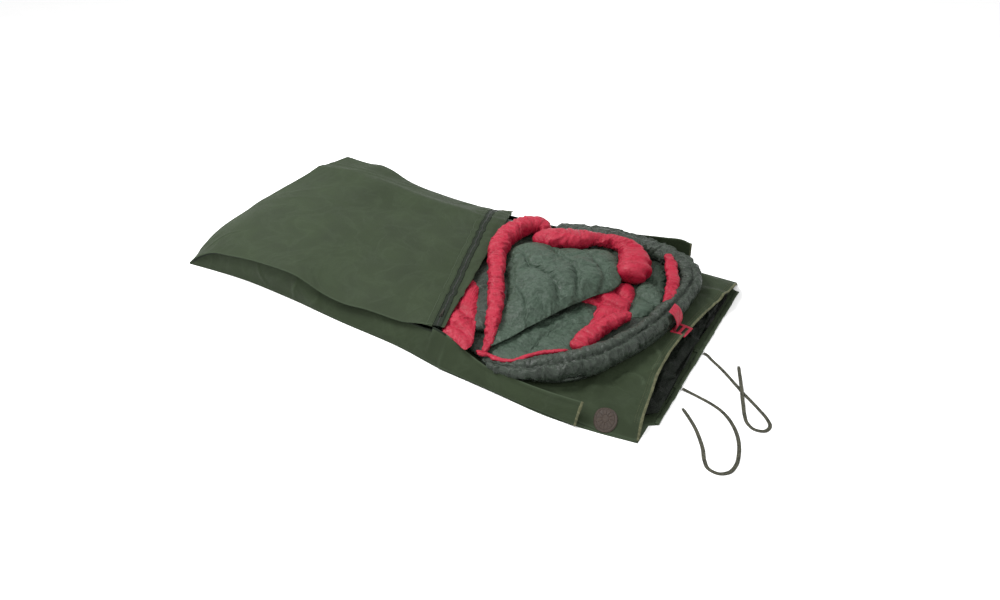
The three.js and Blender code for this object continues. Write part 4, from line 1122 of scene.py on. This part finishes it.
pillow("hood_lining_cloth", HOOD_IN, (.80, .19), 0.096, 0.0665, HOOD_TURN, "lining", ["hood_lining"], fill=0.6,
       seed=191, around=130, rings_up=34, gather=0.005,
       seams=[[(.75, .25), (.80, .23), (.85, .20)], [(.76, .14), (.81, .11), (.86, .10)]])
roll("hood_strip_cloth", [(.772, .428, .116, .012, .010), (.800, .375, .120, .020, .014),
                          (.828, .315, .122, .023, .015), (.864, .231, .120, .024, .015),
                          (.888, .130, .114, .020, .012), (.892, .07, .106, .011, .008)],
     HOOD_TURN, "red_shell", ["hood_strip"], gather=0.12, pitch=0.018, around=32, seed=201)
roll("zip_edge_cloth", [(.418, -.500, .0840, .006, .005), (.445, -.508, .0860, .010, .007),
                        (.470, -.502, .0850, .007, .006), (.500, -.510, .0880, .010, .007),
                        (.535, -.506, .0900, .007, .006), (.575, -.485, .094, .009, .007),
                        (.600, -.446, .098, .008, .006), (.631, -.415, .102, .008, .006),
                        (.670, -.388, .106, .008, .006), (.705, -.358, .106, .006, .005)],
     "bag", "red_shell", ["bag_zip_tape"], fill=0.3, gather=0.20, pitch=0.010, around=16, seed=211)
print("padded pieces:", len(PADDED))

# %% [markdown]
# ## Small parts of the bag
# A hanging tab of folded crimson tape, with two windows, stands out from the hood. A thin drawcord
# runs through a cord lock at the far side of the hood. A short nylon zip lies on the bag's edge.

# %% Tab, drawcord and bag zip
def tab_point(along_, across_):
    """A point of the hanging tab: along_ runs outwards, both in metres."""
    c, s = math.cos(-0.12), math.sin(-0.12)
    return (0.9535 + along_ * c - across_ * s, 0.030 + along_ * s + across_ * c,
            0.0545 + 0.0010 * math.sin(along_ * 60))


for k, across_ in enumerate((-0.0290, 0.0290)):
    line = path_through([tab_point(a_, across_) for a_ in np.linspace(-0.002, 0.056, 9)], 40)
    loft("tab_rail_%d" % k, tube_rings(line, 0.0066, 0.0021, 12, 0.7), "hang_tab", "red_shell",
         ["hang_tab"] if k == 0 else ())
for k, along_ in enumerate((0.003, 0.028, 0.052)):
    line = path_through([tab_point(along_, b_) for b_ in np.linspace(-0.033, 0.033, 9)], 40)
    loft("tab_rung_%d" % k, tube_rings(line + (0, 0, 0.0005), 0.0056, 0.0019, 12, 0.7), "hang_tab", "red_shell")
web = np.array([[tab_point(a_, b_) for b_ in np.linspace(-0.028, 0.028, 14)] for a_ in np.linspace(0.004, 0.050, 14)])
sheet("tab_web", web - (0, 0, 0.0004), 0.0012, "hang_tab", "zip_tape")
over_rim = path_through([(.930, .1340), (.948, .1270), (.963, .108), (.969, .085), (.966, .060)], 24)
root = np.stack([stack(px, np.linspace(-0.001, 0.063, 16) - 0.10 * (px - 0.95), pz) for px, pz in over_rim])
sheet("tab_root", root, CANVAS, "hood", "red_shell")
line = path_through([(.768, .428, .1035), (.7675, .40, .1038), (.7675, .372, .1045), (.7685, .345, .1040)], 60)
loft("drawcord_cloth", tube_rings(line, 0.0016, 0.0016, 10), "bag", "black_plastic", ["drawcord"])
verts, faces = [], []
TOOTH = ((-0.0006, 0, 1), (0.0006, 0, 1), (0.0006, 0.0016, 0.7), (-0.0006, 0.0016, 0.7))
for i, x_ in enumerate(np.linspace(0.434, 0.546, 70)):
    side_ = 0.0008 * (1 if i % 2 else -1)
    add_block(verts, faces, [(x_ + dx, -0.5060 + side_ + way * 0.0020 * w, 0.0684 + dz)
                             for dx, dz, w in TOOTH for way in (-1, 1)])
finish_mesh("bag_zip_teeth", verts, faces, np.array(verts)[:, :2], "bag", "black_plastic", ["bag_zip_coil"])
print("small parts done")

# %% [markdown]
# ## Settling the fabric
# Down pushes the fabric out between its seams, and the fabric is cut a little larger than the room
# that it has, so it buckles into creases that run away from every seam. The cloth solver draws them:
# the seams are held, the fabric grows by a few per cent, air pressure stands for the down and gravity
# is left out. Each piece's movement is limited, and the result is written back as plain vertices.

# %% Cloth solver
def settle(name, held, grow, pressure, limit, frames=14):
    """Runs one padded piece for a few frames, with the vertices in held fixed, and keeps its shape."""
    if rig.quick():
        return
    piece, scene = PIECES[name], bpy.context.scene
    before = np.empty(len(piece.data.vertices) * 3)
    piece.data.vertices.foreach_get("co", before)
    before = before.reshape(-1, 3)
    group = piece.vertex_groups.new(name="held")
    group.add([int(i) for i in np.flatnonzero(held)], 1.0, "REPLACE")
    solver = piece.modifiers.new("cloth", "CLOTH")
    values = solver.settings
    values.quality, values.mass, values.air_damping = 4, 0.15, 3.0
    values.tension_stiffness = values.compression_stiffness = 12.0
    values.shear_stiffness, values.bending_stiffness = 4.0, 0.04
    values.vertex_group_mass, values.pin_stiffness = "held", 1.0
    values.shrink_min = values.shrink_max = -grow
    values.use_pressure, values.uniform_pressure_force = True, pressure
    values.effector_weights.gravity = 0.0
    solver.collision_settings.use_collision = False
    solver.point_cache.frame_start, solver.point_cache.frame_end = 1, frames
    for frame_number in range(1, frames + 1):
        scene.frame_set(frame_number)
    solved = piece.evaluated_get(bpy.context.evaluated_depsgraph_get()).to_mesh()
    after = np.empty(len(before) * 3)
    solved.vertices.foreach_get("co", after)
    piece.modifiers.remove(solver)
    piece.vertex_groups.remove(group)
    scene.frame_set(1)
    move = after.reshape(-1, 3) - before
    reach = np.linalg.norm(move, axis=1, keepdims=True)
    move *= limit * np.tanh(reach / limit) / np.maximum(reach, 1e-9)
    piece.data.vertices.foreach_set("co", (before + move).ravel())
    piece.data.update()
    print(name, "moved", round(float(reach.mean()) * 1000, 1), "mm on average")


def settle_roll(name, around, every=0.0, seam=None, **values):
    """A roll is sewn down along its underside and its seam, and through at every so many metres."""
    piece = PIECES[name]
    index = np.arange(len(piece.data.vertices))
    turn = (index % around) / around
    held = np.abs(turn - 0.75) < 0.06
    if seam:
        held |= np.abs(turn - seam) < 0.011
    if every:
        ring_number = index // around
        per = max(2, int(every / RING_STEP))
        held |= ring_number % per == per // 2
    held[-2:] = True
    settle(name, held, **values)


def settle_pillow(name, around, rings_up, seams=(), **values):
    """A pillow is sewn round its outline and along its seams."""
    piece = PIECES[name]
    points = np.array([v.co for v in piece.data.vertices])
    place = np.array(piece.matrix_world)
    points = points @ place[:3, :3].T + place[:3, 3]
    index = np.arange(len(points))
    held = (index // around >= rings_up - 1) & (index < len(points) - 2)
    held[-1] = True
    for line in seams:
        far, _ = near_line(points[:, 0], points[:, 1], line)
        held |= far < 0.0032
    settle(name, held, **values)


settle_roll("bag_rim", 48, every=0.13, seam=0.29, grow=0.09, pressure=3.0, limit=0.010)
for name, around, pressure, limit in (("draft_tube_cloth", 40, 3.0, 0.008), ("collar_roll", 52, 3.0, 0.009),
                                      ("shoulder_roll", 40, 3.0, 0.007), ("hood_strip_cloth", 32, 2.0, 0.005)):
    settle_roll(name, around, grow=0.10, pressure=pressure, limit=limit)
for name, around, rings_up, seams, grow, pressure, limit in (
        ("opened_lining", 260, 60, DOME_SEAMS, 0.08, 2.5, 0.010),
        ("back_lining", 200, 40, BACK_SEAMS, 0.08, 1.0, 0.006),
        ("neck_cloth", 150, 36, (), 0.09, 1.5, 0.006), ("corner_cloth", 130, 34, (), 0.10, 1.5, 0.007),
        ("hood_lining_cloth", 130, 34, (), 0.08, 1.5, 0.006)):
    settle_pillow(name, around, rings_up, seams, grow=grow, pressure=pressure, limit=limit)

# %% [markdown]
# ## Shared surface effects
# Four effects recur, so each is a node group. Weave gives the height of a plain weave, sized in
# metres by the cloth's own map. Creases gives the fine broken lines that waxed canvas and nylon show.
# Drift varies a colour in soft clouds. Crinkle turns heights into a surface normal.

# %% Node groups
def node(tree, kind, props=None, **inputs):
    """A node whose inputs are constants or other nodes' outputs."""
    made = tree.nodes.new("ShaderNode" + kind)
    for key, value in (props or {}).items():
        setattr(made, key, value)
    for key, value in inputs.items():
        key = int(key[1:]) if key[0] == "i" and key[1:].isdigit() else key.replace("_", " ")
        if isinstance(value, bpy.types.NodeSocket):
            tree.links.new(value, made.inputs[key])
        else:
            made.inputs[key].default_value = value
    return made


def math_of(tree, operation, a, b=0.0, c=None):
    made = node(tree, "Math", {"operation": operation}, i0=a, i1=b)
    if c is not None:
        made.inputs[2].default_value = c
    return made.outputs[0]


def group_of(tree, group, **inputs):
    return node(tree, "Group", {"node_tree": group}, **inputs).outputs


def bump_of(tree, strength, distance, height, **normal):
    return node(tree, "Bump", Strength=strength, Distance=distance, Height=height, **normal).outputs[0]


def new_group(name, inputs, outputs):
    tree = bpy.data.node_groups.new(name, "ShaderNodeTree")
    for label, kind, value in inputs:
        socket = tree.interface.new_socket(name=label, in_out="INPUT", socket_type="NodeSocket" + kind)
        socket.default_value = value
    for label, kind in outputs:
        tree.interface.new_socket(name=label, in_out="OUTPUT", socket_type="NodeSocket" + kind)
    return tree, tree.nodes.new("NodeGroupInput").outputs, tree.nodes.new("NodeGroupOutput").inputs


weave, ins, outs = new_group("Weave", [("Threads", "Float", 900.0)], [("Height", "Float")])
cloth = node(weave, "UVMap", {"uv_map": "cloth"}).outputs[0]
scaled = node(weave, "VectorMath", {"operation": "SCALE"}, i0=cloth, Scale=ins["Threads"]).outputs[0]
parts = node(weave, "SeparateXYZ", i0=scaled).outputs
over_under = math_of(weave, "MULTIPLY", math_of(weave, "SINE", parts[0]), math_of(weave, "SINE", parts[1]))
slub = node(weave, "TexNoise", Vector=cloth, Scale=260.0, Detail=2.0).outputs[0]
weave.links.new(math_of(weave, "ADD", math_of(weave, "MULTIPLY", over_under, 0.5), slub), outs["Height"])

creases, ins, outs = new_group("Creases", [("Scale", "Float", 8.0), ("Sharpness", "Float", 9.0),
                                           ("Warp", "Float", 0.8)], [("Lines", "Float"), ("Height", "Float")])
cloth = node(creases, "UVMap", {"uv_map": "cloth"}).outputs[0]
cloud = node(creases, "TexNoise", Vector=cloth, Scale=ins["Scale"], Detail=4.0, Roughness=0.6,
             Distortion=ins["Warp"]).outputs[0]
spread = math_of(creases, "ABSOLUTE", math_of(creases, "MULTIPLY_ADD", cloud, 2.0, -1.0))
line_value = math_of(creases, "POWER", math_of(creases, "SUBTRACT", 1.0, spread), ins["Sharpness"])
creases.links.new(line_value, outs["Lines"])
creases.links.new(math_of(creases, "ADD", math_of(creases, "MULTIPLY", line_value, 0.5), cloud), outs["Height"])

drift, ins, outs = new_group("Drift", [("Colour", "Color", (0.5, 0.5, 0.5, 1)), ("Scale", "Float", 4.0),
                                       ("Amount", "Float", 0.25)], [("Colour", "Color"), ("Clouds", "Float")])
cloth = node(drift, "UVMap", {"uv_map": "cloth"}).outputs[0]
cloud = node(drift, "TexNoise", Vector=cloth, Scale=ins["Scale"], Detail=5.0, Roughness=0.62).outputs[0]
gain = math_of(drift, "ADD", math_of(drift, "MULTIPLY", math_of(drift, "SUBTRACT", cloud, 0.5),
                                     math_of(drift, "MULTIPLY", ins["Amount"], 4.0)), 1.0)
tinted = node(drift, "VectorMath", {"operation": "SCALE"}, i0=ins["Colour"], Scale=gain).outputs[0]
drift.links.new(tinted, outs["Colour"])
drift.links.new(cloud, outs["Clouds"])

crinkle, ins, outs = new_group("Crinkle", [("Scale", "Float", 40.0), ("Depth", "Float", 0.5),
                                           ("Normal", "Vector", (0, 0, 0))], [("Normal", "Vector"), ("Lines", "Float")])
wide = group_of(crinkle, creases, Scale=ins["Scale"], Sharpness=5.0, Warp=1.2)
fine_scale = math_of(crinkle, "MULTIPLY", ins["Scale"], 2.7)
fine = group_of(crinkle, creases, Scale=fine_scale, Sharpness=4.0, Warp=0.6)
height = math_of(crinkle, "ADD", wide["Height"], math_of(crinkle, "MULTIPLY", fine["Height"], 0.4))
crinkle.links.new(bump_of(crinkle, ins["Depth"], 0.004, height, Normal=ins["Normal"]), outs["Normal"])
crinkle.links.new(wide["Lines"], outs["Lines"])
print("node groups:", [g.name for g in bpy.data.node_groups])

# %% [markdown]
# ## Finishes
# Colours are written as they look on screen and turned into linear light. Canvas is dull olive with
# paler lines where the wax has cracked. The nylons are thin and slightly shiny; a paler colour along
# their crinkle ridges is a painted highlight. The selvedge is undyed and stained a little by the wax.

# %% Materials
MATERIALS = {}


def linear(r, g, b):
    """An sRGB colour from 0 to 255 as linear RGBA."""
    shares = (r / 255, g / 255, b / 255)
    return tuple(c / 12.92 if c <= 0.04045 else ((c + 0.055) / 1.055) ** 2.4 for c in shares) + (1,)


def start_material(name, **values):
    material = bpy.data.materials.new(name)
    material.use_nodes = True
    surface = material.node_tree.nodes["Principled BSDF"]
    for key, value in values.items():
        surface.inputs[key.replace("_", " ")].default_value = value
    MATERIALS[name] = material
    return material.node_tree, surface.inputs


def finish(tree, surface, base, share, pale, normal, low, high):
    """Joins a finish up: its colour with a paler one over it, its normal and its drifting roughness. The paler one is
    wax cracks and wear on canvas, grain on leather, and a painted highlight on the nylons.
    """
    mixed = node(tree, "Mix", {"data_type": "RGBA"}, i0=share, i6=base["Colour"], i7=linear(*pale)).outputs[2]
    rough = node(tree, "MapRange", i0=base["Clouds"], i1=0.3, i2=0.7, i3=low, i4=high).outputs[0]
    for made, name in ((mixed, "Base Color"), (normal, "Normal"), (rough, "Roughness")):
        tree.links.new(made, surface[name])


def cloth_material(name, colour, pale, roughness, threads, weave_depth, crease_scale, crease_depth, drift_scale=4.0,
                   amount=0.2, sheen=0.02, lines=0.35, sharpness=9.0, wear=0.0, specular=0.15):
    """Woven cloth: drifting colour, paler crease lines, a weave and creases in its normal."""
    tree, surface = start_material(name, Sheen_Weight=sheen, Sheen_Roughness=0.45, Specular_IOR_Level=specular)
    base = group_of(tree, drift, Colour=linear(*colour), Scale=drift_scale, Amount=amount)
    marks = group_of(tree, creases, Scale=crease_scale, Sharpness=sharpness)
    share = math_of(tree, "MULTIPLY", marks["Lines"], lines)
    if wear:
        ridge = node(tree, "NewGeometry").outputs["Pointiness"]
        worn = node(tree, "MapRange", i0=ridge, i1=0.505, i2=0.56, i3=0.0, i4=wear).outputs[0]
        share = math_of(tree, "MAXIMUM", share, worn)
    woven = bump_of(tree, weave_depth, 0.0006, group_of(tree, weave, Threads=threads)[0])
    creased = bump_of(tree, crease_depth, 0.004, marks["Height"], Normal=woven)
    finish(tree, surface, base, share, pale, creased, roughness - 0.07, roughness + 0.07)


def nylon_material(name, colour, pale, roughness, scale, depth, lines=0.32, sheen=0.03, specular=0.25):
    """Thin downproof nylon: crinkles in its normal, and a paler colour along the crinkle ridges as a painted highlight.
    """
    tree, surface = start_material(name, Sheen_Weight=sheen, Sheen_Roughness=0.3, Specular_IOR_Level=specular)
    base = group_of(tree, drift, Colour=linear(*colour), Scale=9.0, Amount=0.18)
    woven = bump_of(tree, 0.25, 0.0002, group_of(tree, weave, Threads=2600.0)[0])
    wrinkles = group_of(tree, crinkle, Scale=scale, Depth=depth, Normal=woven)
    # Painted highlight: the paler colour is mixed in along the crinkle ridges.
    share = math_of(tree, "MULTIPLY", wrinkles["Lines"], lines)
    finish(tree, surface, base, share, pale, wrinkles["Normal"], roughness - 0.08, roughness + 0.10)


cloth_material("canvas", (41, 50, 34), (88, 102, 82), 0.70, 2400.0, 0.35, 6.0, 0.24, drift_scale=5.0, amount=0.22,
               sheen=0.01, lines=0.05, sharpness=12.0, wear=0.20, specular=0.10)
cloth_material("pale_hem", (70, 72, 52), (120, 119, 92), 0.82, 2000.0, 0.5, 30.0, 0.25, drift_scale=28.0, amount=0.4)
cloth_material("zip_tape", (20, 27, 18), (42, 52, 38), 0.78, 3600.0, 0.5, 40.0, 0.2, drift_scale=14.0, amount=0.25)
cloth_material("tie_tape", (50, 51, 43), (100, 98, 84), 0.84, 2600.0, 0.6, 50.0, 0.3, drift_scale=20.0, amount=0.35,
               lines=0.5)
# The second colour of each nylon is its painted highlight along the crinkle ridges.
nylon_material("pad_cover", (5, 9, 5), (22, 30, 20), 0.46, 30.0, 0.8, lines=0.3, sheen=0.0, specular=0.09)
nylon_material("shell", (27, 34, 27), (74, 86, 74), 0.38, 26.0, 0.85, lines=0.35, specular=0.30)
nylon_material("lining", (42, 56, 45), (86, 104, 90), 0.45, 30.0, 0.75, specular=0.22)
nylon_material("red_shell", (136, 8, 34), (192, 44, 74), 0.45, 34.0, 0.65)

tree, surface = start_material("leather", Specular_IOR_Level=0.4)
base = group_of(tree, drift, Colour=linear(38, 29, 22), Scale=60.0, Amount=0.35)
grain = group_of(tree, crinkle, Scale=170.0, Depth=0.35)
finish(tree, surface, base, math_of(tree, "MULTIPLY", grain["Lines"], 0.3), (84, 66, 52), grain["Normal"], 0.48, 0.68)


def hard_material(name, colour, metallic, low, high, scale):
    """Cast metal or moulded plastic: scuffed unevenly, on the part's own coordinates."""
    tree, surface = start_material(name, Metallic=metallic)
    where = node(tree, "TexCoord").outputs["Object"]
    scuff = node(tree, "TexNoise", Vector=where, Scale=scale, Detail=6.0, Roughness=0.7).outputs[0]
    rough = node(tree, "MapRange", i0=scuff, i1=0.3, i2=0.7, i3=low, i4=high).outputs[0]
    tone = node(tree, "MapRange", i0=scuff, i1=0.35, i2=0.7, i3=0.75, i4=1.3).outputs[0]
    tinted = node(tree, "VectorMath", {"operation": "SCALE"}, i0=linear(*colour)[:3], Scale=tone).outputs[0]
    for made, socket in ((tinted, "Base Color"), (bump_of(tree, 0.15, 0.0004, scuff), "Normal"), (rough, "Roughness")):
        tree.links.new(made, surface[socket])


hard_material("zip_coil", (18, 21, 18), 0.0, 0.35, 0.55, 900.0)
hard_material("zip_metal", (62, 60, 54), 1.0, 0.32, 0.6, 700.0)
hard_material("black_plastic", (22, 23, 23), 0.0, 0.35, 0.6, 800.0)

CARRIED = {"zip_slider": "zip_metal", "zip_bridge": "zip_metal", "zip_pull": "zip_metal",
           "bag_zip_slider": "black_plastic", "bag_zip_pull": "black_plastic", "cord_lock": "black_plastic"}
finishes = [(piece, piece["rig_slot"]) for piece in PIECES.values()]
finishes += [(frame["nodes"][name], slot) for name, slot in CARRIED.items()]
for part, slot in finishes:
    part.data.materials.clear()
    part.data.materials.append(MATERIALS[slot])
print("materials:", sorted(MATERIALS))

# %% [markdown]
# ## Studio
# A white floor, a white surround and two soft lights. The key light is high over the foot end, so
# the ridge catches it and its far slope falls into shade. The fill comes from the head end.

# %% Floor, lights and view
floor_mesh = bpy.data.meshes.new("floor")
floor_mesh.from_pydata([(-12, -12, 0), (12, -12, 0), (12, 12, 0), (-12, 12, 0)], [], [(0, 1, 2, 3)])
floor = bpy.data.objects.new("floor", floor_mesh)
bpy.context.scene.collection.objects.link(floor)
tree, surface = start_material("floor", Roughness=0.9, Specular_IOR_Level=0.1)
paper = node(tree, "TexNoise", Vector=node(tree, "TexCoord").outputs["Object"], Scale=3.0).outputs[0]
tree.links.new(node(tree, "MapRange", i0=paper, i3=0.93, i4=0.97).outputs[0], surface["Base Color"])
floor_mesh.materials.append(MATERIALS["floor"])
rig.stage(floor)


def area_light(name, place, target, size, power):
    light = bpy.data.lights.new(name, "AREA")
    light.shape, light.size, light.energy = "DISK", size, power
    lamp = bpy.data.objects.new(name, light)
    lamp.location = place
    lamp.rotation_euler = (Vector(target) - Vector(place)).to_track_quat("-Z", "Y").to_euler()
    bpy.context.scene.collection.objects.link(lamp)
    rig.stage(lamp)


area_light("key", (-1.9, -0.5, 3.4), (0, 0, 0), 1.6, 180)
area_light("fill", (2.4, -1.4, 2.4), (0.4, 0, 0), 2.4, 22)
world = bpy.data.worlds.new("surround")
world.use_nodes = True
world.node_tree.nodes["Background"].inputs[0].default_value = (1.0, 1.0, 1.0, 1)
world.node_tree.nodes["Background"].inputs[1].default_value = 1.0
bpy.context.scene.world = world
bpy.context.scene.view_settings.view_transform = "Standard"
print("studio ready")

# %% [markdown]
# ## What the pieces are, and the end
# The blends make the crossing cloth follow both of its bodies, and every stuffed piece says how full
# it is. The two boxes are written down, so that the outside size can be compared with the solids'.

# %% Declarations and finish
for name, (body_a, body_b, start, end) in BLENDS.items():
    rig.blend(PIECES[name], body_a, body_b, start, end)
for name, fill in PADDED.items():
    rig.padded(PIECES[name], fill)
with open("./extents.json", "w") as out:
    json.dump({"cad": [list(map(float, c)) for c in CAD_BOX], "visual": [list(map(float, c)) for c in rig.bounds()]}, out)
